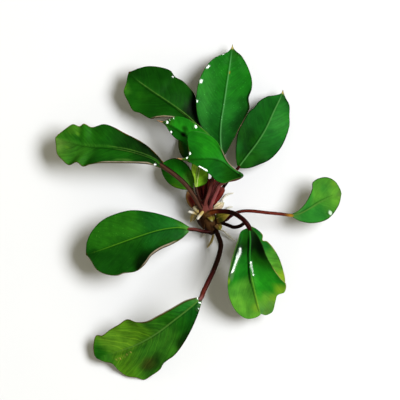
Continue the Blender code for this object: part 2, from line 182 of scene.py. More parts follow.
def cloud(tree, place, size, detail=2.0, seed=0.0):
    """Noise from 0 to 1 whose lumps are about size across, in the units of place."""
    node = tree.nodes.new("ShaderNodeTexNoise")
    node.noise_dimensions = "4D"
    feed(tree, node.inputs["Vector"], place)
    feed(tree, node.inputs["W"], seed)
    feed(tree, node.inputs["Scale"], 1 / size)
    feed(tree, node.inputs["Detail"], detail)
    return Wire(tree, node.outputs["Fac"])


def split(tree, vector):
    """The three parts of a vector."""
    node = tree.nodes.new("ShaderNodeSeparateXYZ")
    feed(tree, node.inputs[0], vector)
    return [Wire(tree, part) for part in node.outputs]


def join(tree, *parts):
    """A vector from three parts."""
    node = tree.nodes.new("ShaderNodeCombineXYZ")
    for socket, part in zip(node.inputs, parts):
        feed(tree, socket, part)
    return Wire(tree, node.outputs[0])


def stored(tree, name, output="Fac"):
    """A value that the mesh carries at its points."""
    node = tree.nodes.new("ShaderNodeAttribute")
    node.attribute_name = name
    return Wire(tree, node.outputs[output])


def inside(tree):
    """What comes into a tree from outside, by the names of its inputs."""
    sockets = tree.nodes.new("NodeGroupInput").outputs
    return {socket.name: Wire(tree, socket) for socket in sockets if socket.name}


def new_group(name, inputs, outputs):
    """A shader node group with its sockets. inputs and outputs are lists of (name, kind)."""
    group = bpy.data.node_groups.new(name, "ShaderNodeTree")
    for side, sockets in (("INPUT", inputs), ("OUTPUT", outputs)):
        for label, kind in sockets:
            group.interface.new_socket(label, in_out=side, socket_type="NodeSocket" + kind)
    return group, inside(group), group.nodes.new("NodeGroupOutput").inputs


# %% [markdown]
# ## Materials from a look
#
# Each piece has a look: a few words and numbers. A look's names are those of its skin's inputs, so one
# function can hand all of them over. Colours are looked up in the palette.

# %% Materials from a look
FINE_RELIEF = 0.0001


def skin_values(group, look):
    """The values that a look gives to the inputs of a skin, by their names."""
    values = {}
    for item in group.interface.items_tree:
        key = item.name.lower().replace(" ", "_")
        if item.in_out == "INPUT" and key in look:
            values[item.name] = PALETTE[look[key]] if isinstance(look[key], str) else look[key]
    return values


def new_material(name, group, values, relief_depth, settings):
    """A Principled material whose colour, roughness and relief come from a shader group."""
    material = bpy.data.materials.new(name)
    material.use_nodes = True
    tree = material.node_tree
    shader = tree.nodes["Principled BSDF"]
    skin = tree.nodes.new("ShaderNodeGroup")
    skin.node_tree = group
    for label, value in values.items():
        feed(tree, skin.inputs[label], value(tree) if callable(value) else value)
    for output, label in (("Colour", "Base Color"), ("Roughness", "Roughness"), ("Coat", "Coat Weight")):
        if output in skin.outputs:
            feed(tree, shader.inputs[label], skin.outputs[output])
    relief = tree.nodes.new("ShaderNodeBump")
    relief.inputs["Distance"].default_value = relief_depth
    feed(tree, relief.inputs["Height"], skin.outputs["Height"])
    feed(tree, shader.inputs["Normal"], relief.outputs["Normal"])
    for label, value in settings.items():
        shader.inputs[label].default_value = value
    return material

# %% [markdown]
# ## Light
#
# The shadows fall to the left with soft rims, so there is one softbox on the right, a little more than
# halfway up. Its width sets how wide the rims of the shadows are, and its reflections are the small white
# glints on the leaves. The rest of the light is a warm glow from the walls of the studio. The ceiling is
# darker, because flat leaves mirror it, and a bright one would wash their green out.

# %% Light
KEY_TURN = math.radians(18)
KEY_HEIGHT = math.radians(48)
KEY_DISTANCE = 2.0
KEY_WIDTH = 1.6
KEY_TALLNESS = 1.0
KEY_POWER = 57
key_data = bpy.data.lights.new("softbox", "AREA")
key_data.shape = "ELLIPSE"
key_data.size = KEY_WIDTH
key_data.size_y = KEY_TALLNESS
key_data.energy = KEY_POWER
key_data.color = (0.98, 0.99, 1.0)
key = bpy.data.objects.new("softbox", key_data)
key_way = Vector((math.cos(KEY_TURN) * math.cos(KEY_HEIGHT), math.sin(KEY_TURN) * math.cos(KEY_HEIGHT),
                  math.sin(KEY_HEIGHT)))
key.location = key_way * KEY_DISTANCE
key.rotation_euler = key_way.to_track_quat("Z", "Y").to_euler()
bpy.context.scene.collection.objects.link(key)

# A surface glints to a camera overhead where it slopes halfway to the lamp
GLINT_SLOPE = -key_way.xy / (key_way.z + 1)

WALL_LIGHT = (0.60, 0.57, 0.41)
CEILING_LIGHT = (0.06, 0.06, 0.065)
CEILING_EDGE = (0.55, 0.85)
world = bpy.data.worlds.new("studio")
bpy.context.scene.world = world
world.use_nodes = True
sky = world.node_tree
sky_height = split(sky, sky.nodes.new("ShaderNodeTexCoord").outputs["Generated"])[2]
sky_colour = blend(sky, rise(sky, sky_height, *CEILING_EDGE), WALL_LIGHT, CEILING_LIGHT)
feed(sky, sky.nodes["Background"].inputs["Color"], sky_colour)
print("softbox at", [round(v, 2) for v in key.location])

# %% [markdown]
# ## Colours
#
# Colours are easiest to judge as they look in the picture, so the palette is written as screen values from
# 0 to 255. The shader wants the surface's own colour, linear and without the light on it, so one function
# turns a screen value into that.

# %% Colours
LIGHT_ON_A_FLAT_LEAF = 1.35


def seen(red, green, blue):
    """The surface colour that looks like this screen value when it lies flat in the studio light."""
    parts = []
    for value in (red, green, blue):
        value /= 255
        linear = value / 12.92 if value <= 0.04045 else ((value + 0.055) / 1.055) ** 2.4
        parts.append(linear / LIGHT_ON_A_FLAT_LEAF)
    return tuple(parts)


SCREEN_COLOURS = {
    # Greens, from the darkest
    "black green": (2, 16, 1), "ink": (6, 30, 4), "night": (9, 45, 5), "shade": (12, 60, 6),
    "deep": (16, 76, 9), "green": (22, 90, 12), "grass": (34, 107, 16), "leaf": (50, 118, 26),
    "pale": (64, 128, 28), "frost": (88, 138, 54), "fresh": (80, 140, 24), "apple": (98, 158, 38),
    "lime": (130, 176, 40), "spring": (184, 240, 70), "spring shade": (130, 206, 44),
    # Bluer greens, for a painted bluish sheen of reflected light on the leaves
    "sea deep": (11, 60, 12), "sea": (17, 88, 20), "sea light": (25, 108, 29), "mint": (42, 130, 42),
    "milk": (78, 142, 68),
    # Greens of leaves in full growth
    "emerald": (22, 114, 20), "bright": (34, 144, 26), "glow": (74, 150, 44), "sun": (92, 164, 48),
    # Browns, reds and straws
    "olive": (70, 78, 26), "bud": (145, 138, 52), "tip": (200, 180, 105), "straw": (205, 180, 110),
    "amber": (190, 140, 40), "salmon": (228, 172, 125), "rib": (84, 158, 84), "tan": (155, 125, 80),
    "brown": (95, 65, 35), "purple brown": (92, 62, 48), "dark brown": (50, 28, 14),
    "bark": (100, 68, 28), "rust": (135, 66, 30), "dark purple": (66, 38, 30), "mauve": (120, 62, 56),
    "maroon": (62, 14, 14), "black maroon": (22, 6, 2), "wine": (95, 14, 20), "rose": (156, 82, 84),
    "blush": (190, 130, 130), "petal": (220, 172, 172), "red brown": (120, 48, 38),
    "cream": (222, 212, 178), "ivory": (244, 240, 224), "white": (250, 248, 240), "ash": (176, 160, 140),
}
PALETTE = {name: seen(*screen) for name, screen in SCREEN_COLOURS.items()}
print("palette of", len(PALETTE), "colours")

# %% [markdown]
# ## Floor
#
# A plain white table, a little cloudy, so that it isn't one flat tone. It lies a hair below the plant's
# seat, so the two never share a plane.

# %% Floor
FLOOR_WIDTH = 6.0
FLOOR_DEPTH = 0.00004
FLOOR_CLOUD_SIZE = 0.02
FLOOR_DIM = (0.815, 0.82, 0.845)
FLOOR_BRIGHT = (0.83, 0.835, 0.86)
floor_mesh = bpy.data.meshes.new("floor")
floor_grid = bmesh.new()
bmesh.ops.create_grid(floor_grid, x_segments=1, y_segments=1, size=FLOOR_WIDTH / 2)
floor_grid.to_mesh(floor_mesh)
floor_grid.free()
floor = bpy.data.objects.new("floor", floor_mesh)
floor.location.z = -FLOOR_DEPTH
floor_paint = bpy.data.materials.new("white table")
floor_paint.use_nodes = True
floor_tree = floor_paint.node_tree
floor_place = floor_tree.nodes.new("ShaderNodeTexCoord").outputs["Object"]
floor_cloud = cloud(floor_tree, floor_place, FLOOR_CLOUD_SIZE, detail=3)
floor_shader = floor_tree.nodes["Principled BSDF"]
floor_white = blend(floor_tree, floor_cloud, FLOOR_DIM, FLOOR_BRIGHT)
feed(floor_tree, floor_shader.inputs["Base Color"], floor_white)
floor_shader.inputs["Roughness"].default_value = 0.8
floor_shader.inputs["Specular IOR Level"].default_value = 0.2
floor_mesh.materials.append(floor_paint)
bpy.context.scene.collection.objects.link(floor)
print("floor:", FLOOR_WIDTH, "m wide")

# %% [markdown]
# ## Smooth paths
#
# Every outline and stalk is a short list of points. The path between them is a cubic that passes through
# each point, timed by how far apart the points are, so that a few points give an even curve.

# %% Smooth paths
def smooth_path(points):
    """A function of a share from 0 to 1 that runs smoothly through the points, by their distance apart."""
    points = [Vector(p) for p in points]
    marks = [0.0]
    for a, b in zip(points, points[1:]):
        marks.append(marks[-1] + (b - a).length)
    slopes = []
    for i in range(len(points)):
        before, after = max(i - 1, 0), min(i + 1, len(points) - 1)
        slopes.append((points[after] - points[before]) / (marks[after] - marks[before]))

    def at(share):
        place = share * marks[-1]
        i = max(k for k in range(len(points) - 1) if marks[k] <= place)
        step = marks[i + 1] - marks[i]
        u = (place - marks[i]) / step
        return (points[i] * (2 * u**3 - 3 * u**2 + 1) + slopes[i] * step * (u**3 - 2 * u**2 + u)
                + points[i + 1] * (3 * u**2 - 2 * u**3) + slopes[i + 1] * step * (u**3 - u**2))

    return at


def soft_step(value, low, high):
    """0 below low and 1 above high, with a soft step between them."""
    share = min(max((value - low) / (high - low), 0), 1)
    return share * share * (3 - 2 * share)


def window(value, start, end, soft):
    """1 between start and end, fading out over soft at either end."""
    half = soft / 2
    return soft_step(value, start - half, start + half) * (1 - soft_step(value, end - half, end + half))


halfway = smooth_path([(0, 0, 0), (1, 2, 0), (4, 2, 0)])(0.5)
print("halfway along a bent path:", [round(value, 2) for value in halfway])

# %% [markdown]
# ## The leaves' outlines
#
# A leaf is drawn as three lines in space: its midrib and its two margins. The blade is the sheet stretched
# between them, which gives the outline, the arch and the V of the real leaf at once.

# %% The leaves' outlines
# Each leaf's blade is stretched between three lines, base to tip: middle, left and right. dish is how
# far each half sinks between them, in squares.
LEAVES = {
    "far_left": {
        "dish": 1.5,
        "middle": [(-48, 58.5, 30), (-55, 64, 30.5), (-65, 68.5, 30.5), (-80, 73, 29.5),
                   (-100, 76.5, 27.5), (-120, 78, 25.5), (-138, 81.5, 23.5), (-154.5, 87, 21.5)],
        "left": [(-49, 56.3, 30.5), (-58, 59, 33), (-70, 60.4, 34), (-90, 61, 34), (-110, 61, 33),
                 (-120, 60, 31), (-127, 58, 27), (-133, 62.2, 29), (-141, 59.4, 24), (-147, 64, 24),
                 (-152.5, 70.5, 22), (-153.7, 79, 21.5)],
        "right": [(-46.3, 61.7, 29.5), (-53, 69.5, 28), (-62, 78, 26), (-72, 84.5, 24.5),
                  (-85, 91, 24), (-96, 97, 25), (-106, 100, 26), (-118, 97, 23), (-126, 100.5, 26.5),
                  (-130.5, 98, 24), (-137, 100, 25.5), (-145, 95, 23), (-152, 89.5, 21.5)],
        "stalk": [(-8, 16, 14), (-9.5, 16.5, 20.5), (-12.5, 22, 23.5), (-16.5, 29, 26),
                  (-22, 37, 29.5), (-31, 46, 31.5), (-40, 53, 31.5)],
    },
    "upper_left": {
        "dish": 1.5,
        "middle": [(-11, 97, 25), (-23, 108.5, 25), (-40, 121, 24.5), (-60, 134.5, 22.5),
                   (-75, 145.5, 19.5), (-81.3, 152.5, 17)],
        "left": [(-13.5, 95, 24.5), (-24, 100, 23), (-34, 105.5, 24), (-47, 107, 26), (-55, 106, 24),
                 (-60, 105.5, 21), (-70, 111, 19.5), (-77, 113.5, 17.5), (-81.7, 122, 17.5),
                 (-86.3, 132, 18.5), (-83.8, 141, 17), (-82.5, 148, 17)],
        "right": [(-9, 98, 25), (-11, 106, 20), (-12.7, 116, 19), (-14, 126, 19.5), (-18, 133.5, 21),
                  (-27, 143, 22.5), (-35, 147.5, 21.5), (-39.5, 153.5, 25), (-50, 157, 23.5),
                  (-62, 158, 20.5), (-72, 155.7, 18.5), (-78.5, 153, 17.5)],
        "stalk": [(-5.5, 20, 14), (-5, 28, 14.5), (-4, 36, 16.5), (-3, 50, 19), (-3.5, 66, 22),
                  (-6, 82, 24)],
    },
    "top": {
        "dish": 1,
        "middle": [(13, 68, 26.5), (10.7, 81, 26.5), (11, 99, 26), (14, 119, 24), (17, 140, 20.5),
                   (20, 160, 15.5), (22.6, 180.3, 9)],
        "left": [(10.8, 69.5, 26.5), (4, 79, 26.8), (-4, 90, 27), (-11, 102, 27.5), (-13.8, 117, 27.5),
                 (-13.5, 132, 26), (-10.5, 145, 23.3), (-5, 156, 20), (2, 164.5, 16.5),
                 (10, 169.2, 13.5), (17.5, 172.3, 11.5), (21.3, 176.5, 10)],
        "right": [(15, 69, 26.5), (21, 80, 25.5), (28, 93, 25), (35, 106, 24.5), (39.5, 116, 23.5),
                  (38.7, 126, 21.5), (41.8, 135.5, 19.5), (41.8, 145, 17.5), (38, 157, 14.8),
                  (31.5, 168.5, 12), (25.8, 173.5, 10.6), (23.4, 176.7, 9.8)],
        "stalk": [(-6, 17, 16), (-5, 21, 20.5), (-1.5, 31, 21), (1.8, 42, 22.5), (5.5, 53, 24.5),
                  (10, 63, 26)],
    },
    "upper_right": {
        "dish": 0.8,
        "middle": [(28.7, 57, 16), (37, 68, 16), (47, 81, 15.5), (56, 95.5, 14.5), (64, 113, 13),
                   (70, 125.5, 11.5), (73.2, 134.6, 10)],
        "left": [(27, 59, 16), (25.7, 67, 16.8), (26, 79, 17), (28, 92, 16.5), (34, 104, 15.5),
                 (39.5, 113, 14.5), (44, 116.5, 14), (49, 123, 13.5), (57, 127.8, 12.5),
                 (66, 129.3, 11.5), (71.6, 131.3, 10.5)],
        "right": [(30.8, 55.7, 15.7), (39, 56, 14.8), (50, 59.8, 13.5), (60, 64.7, 12.3),
                  (69, 73.7, 11), (74.5, 83, 9.8), (79.5, 98, 9), (79.5, 109, 8.7), (79.5, 119, 9.2),
                  (75.7, 126.5, 10), (73.9, 131.2, 10)],
        "stalk": [(-1, 14, 11.5), (3.4, 18, 12), (7, 27, 13), (13.6, 37.5, 14.5), (21, 47.5, 15.5)],
    },
    "centre_back": {
        "dish": 1,
        "middle": [(15, 58, 35.5), (4, 68, 38), (-10, 79, 39), (-24, 89.5, 38), (-36, 97.5, 34.5),
                   (-45, 101.3, 31), (-53.2, 103.8, 28)],
        "left": [(13, 55.7, 35.5), (1, 58, 35), (-12, 67, 37), (-22, 77, 36), (-28, 82, 34.5),
                 (-35, 86, 32.5), (-40.5, 92.5, 31.5), (-43.7, 97.5, 31), (-46.3, 100.4, 30)],
        "right": [(17, 60, 35.5), (12, 72, 38), (4, 84, 40), (-5, 93.5, 40.5), (-15, 101, 40),
                  (-24, 105.7, 38.5), (-33, 107.5, 36), (-39, 105.5, 34), (-44, 103.5, 32),
                  (-47, 102.7, 30.5)],
        "stalk": [(-3, 16, 14), (-0.8, 21, 17), (1.2, 29, 18.8), (4.4, 38, 21.5), (10.5, 47, 27),
                  (17.5, 53.5, 34.5)],
    },
    "centre_front": {
        "dish": 1,
        "middle": [(31, 49.2, 40.4), (21, 56.5, 44), (13, 63, 47), (3, 66.2, 48), (-9, 66.3, 48),
                   (-20, 65.7, 47), (-26, 64.5, 46), (-33.2, 66, 44.5)],
        "left": [(31, 46.5, 40.2), (22, 44, 37.5), (14, 41, 36.5), (7, 43, 37.5), (0, 49.5, 40.5),
                 (-8, 55, 43), (-17, 60, 45), (-23, 63, 45.5), (-28, 64, 45.5)],
        "right": [(31.2, 51.6, 40.4), (23.5, 56.2, 44), (16.5, 64, 48), (11, 75.5, 50),
                  (4.5, 85, 50.5), (-4, 90.5, 50), (-13, 92.7, 49), (-20.5, 92, 48), (-22.4, 86, 47.5),
                  (-21.5, 77, 47), (-20, 70.5, 47), (-23, 67, 46.5), (-27, 65.5, 45.5)],
        "stalk": [(-2.5, 15, 16), (1, 19.5, 21.3), (3.4, 26, 23), (6.3, 32, 24), (9.5, 39, 26.5),
                  (17, 43.5, 29.3), (26, 45.5, 31.5), (31, 48, 34.8)],
    },
    "small_left": {
        "dish": 1,
        "middle": [(-18, 35.7, 15.5), (-26, 44, 18.5), (-36, 52.5, 17.5), (-47.7, 61, 13)],
        "left": [(-20, 34.3, 15), (-28, 34.7, 15.5), (-38, 38.2, 15), (-45.5, 46, 13.5),
                 (-49, 55.5, 12.5)],
        "right": [(-16.3, 37.5, 16), (-16, 46, 19), (-20, 56, 21), (-27, 63.2, 20.5),
                  (-35, 66, 18), (-42.5, 64.3, 15)],
        "stalk": [(-8, 13, 8), (-13, 19, 8.5), (-16, 28, 12)],
    },
    "low_back": {
        "dish": 1,
        "middle": [(-12, 58.5, 14), (-17, 71, 12), (-22, 83, 7), (-26.5, 92.5, 1.2)],
        "left": [(-14, 59.5, 14), (-23, 63, 11.5), (-29.5, 70, 9.5), (-31.7, 78, 6.5), (-31, 87, 2.5)],
        "right": [(-10, 58, 14), (-3, 66, 13.5), (-4, 77, 11), (-11, 86.5, 7), (-19, 92, 3)],
        "stalk": [(-5, 17, 8), (-6.5, 25, 8), (-9, 36, 10.5), (-11, 48, 13)],
    },
    "young": {
        "dish": 1.5,
        "middle": [(-14, 37, 21.5), (-13.2, 46, 25), (-11.5, 56, 29.5), (-10.5, 67.5, 33.5)],
        "left": [(-15.5, 37.5, 22), (-16, 45.5, 26.5), (-18.7, 55.5, 31), (-16.5, 63, 33.5)],
        "right": [(-12, 37.2, 21.8), (-4.5, 40.5, 24), (-1.7, 47, 26), (-3.5, 56, 29), (-7, 63.5, 32)],
        "stalk": [(-8, 18, 15), (-9.7, 22.4, 19.2), (-12, 29, 21.5)],
    },
    "left": {
        "dish": 1.5,
        "middle": [(-20.5, -5, 17), (-32, -3.3, 20.5), (-50, -5.7, 23.5), (-70, -11.7, 25.5),
                   (-92, -19.5, 26), (-110, -26, 25), (-124, -30.5, 23.5)],
        "left": [(-21, -7.2, 17), (-28, -13.8, 19.5), (-38, -20, 23.5), (-50, -25.5, 27),
                 (-59, -32, 29.5), (-65.5, -40.5, 28.5), (-74, -46.7, 26), (-86, -48.8, 25),
                 (-93, -51, 24), (-104, -49.7, 23.5), (-113, -45, 23.5), (-118.5, -36.5, 23.5),
                 (-121.7, -32, 23.5)],
        "right": [(-20.5, -2.8, 17), (-30, 3, 20), (-45, 8.7, 23), (-62, 12.7, 25), (-79, 14, 26.5),
                  (-94, 10.5, 26.5), (-107, 4.5, 26), (-117.5, -6, 25), (-123, -17.5, 24),
                  (-124, -26, 23.5)],
        "stalk": [(1.5, -7.5, 11), (-5, -7.5, 13), (-10, -6.5, 14), (-15, -5.3, 15.5)],
    },
    "bottom_left": {
        "dish": 1.5,
        "middle": [(-9, -73.3, 49), (-18, -81.5, 47.5), (-35, -95, 41.5), (-55, -110, 32),
                   (-75, -121, 22.5), (-95, -128, 14.5), (-113.5, -134.3, 9)],
        "left": [(-7.7, -75.3, 49), (-11, -87, 45), (-17.5, -103, 37.5), (-26, -118.5, 28),
                 (-35, -130.5, 20), (-46, -139, 14.5), (-50, -145.5, 10), (-59, -152, 4.5),
                 (-66, -156, 0.8), (-73, -153.8, 2), (-83, -152.3, 3), (-92, -146, 5),
                 (-98, -139.6, 7), (-106, -137.7, 8)],
        "right": [(-11.2, -72.2, 49), (-24, -75.5, 47), (-38, -83.3, 42.5), (-53, -91.5, 37.5),
                  (-64, -97, 33.5), (-74, -97.7, 29.5), (-83, -95, 25.5), (-91, -100, 21.5),
                  (-100, -105.3, 17.5), (-108, -111.3, 14), (-114, -111.3, 12), (-116.7, -121, 10),
                  (-116, -130.5, 9)],
        "stalk": [(4, -4, 10), (7, -9, 14), (9, -14, 17.5), (10.8, -20, 21), (9.5, -29, 27),
                  (6.6, -38, 33.5), (2.6, -48, 41), (-2.2, -58, 47.5), (-6.5, -67, 49.7)],
    },
    "lower_right_front": {
        "dish": 1.2,
        "middle": [(39.3, -3.8, 35), (40.2, -16, 34.5), (39.7, -33, 32.5), (41, -51, 30),
                   (44.5, -67, 25.5), (48, -81, 19.5), (51, -89.7, 15)],
        "left": [(41.3, -3.3, 34.5), (47, -10, 34), (52, -19.5, 36), (56.5, -32, 37.5),
                 (63, -43.5, 36), (71, -54.5, 31.5), (76, -60, 28), (74.3, -68, 24), (67.5, -71, 22.5),
                 (65.3, -78, 19.5), (62.5, -87.5, 15), (56, -91, 14)],
        "right": [(37.3, -3.7, 34.5), (31, -7, 34), (27.5, -16.5, 34), (23.5, -29, 34.5),
                  (20, -42, 35), (17.7, -56, 34), (18.5, -71, 28.5), (23.5, -83.5, 21.5),
                  (30, -91, 17), (36.5, -94.5, 14.5), (44, -94, 14), (49, -91.8, 14.5)],
        "stalk": [(-3.5, 9, 13), (-1, 11, 20.5), (4, 12.6, 24), (10, 13, 27), (17, 12.6, 30.5),
                  (24, 10.8, 33.5), (31, 6.4, 35.5), (36.3, 1.3, 36)],
    },
    "lower_right_back": {
        "dish": 1,
        "middle": [(38, -2.5, 19), (43, -14, 20.5), (49, -28, 19), (57, -42, 15), (65, -55, 9),
                   (73, -67.5, 3)],
        "left": [(40, -1.4, 19), (46, -4.3, 19.5), (52.7, -10.5, 18.5), (52.8, -16, 18),
                 (57, -17, 17.5), (63.5, -24, 16.5), (69.5, -34.5, 13.5), (73.3, -46, 9.5),
                 (75.3, -57, 5.5)],
        "right": [(37, -4.2, 19), (34, -16, 19), (38, -33, 16.5), (46, -48, 11.5), (56, -59, 6),
                  (65, -65, 2.5)],
        "stalk": [(4, 0, 6), (12, 1, 8.5), (18, -1, 11.5), (24, -3, 14.5), (30, -1.8, 17),
                  (35, 1, 18.7)],
    },
    "small_right": {
        "dish": 1,
        "middle": [(82.5, 8.8, 20.5), (90, 10.7, 21.5), (100, 16, 22), (110, 22, 21.5),
                   (121, 27, 20.5), (131.5, 30.5, 19)],
        "left": [(82.7, 10.8, 20.5), (88, 13.5, 22), (95, 20.5, 23), (100.3, 30, 24),
                 (102.4, 36.5, 24), (102.5, 41.5, 23.5), (108, 45.7, 22.5), (117, 47, 21.5),
                 (125, 43, 20.5), (130, 35.5, 19.5)],
        "right": [(82.8, 6.7, 20.5), (90, 3, 20.5), (100, 1, 20), (110, 2, 19.5), (118, 5.3, 19),
                  (124.5, 12, 18.5), (129.5, 21, 18.5)],
        "stalk": [(5, 5, 9.5), (11, 4, 12), (15.5, 4, 13.5), (20.5, 8, 15.5), (27, 11.8, 19),
                  (34, 13.2, 21.5), (44, 13, 23), (56, 11.6, 23), (70, 10.3, 22)],
    },
}

print("leaves drawn:", len(LEAVES))
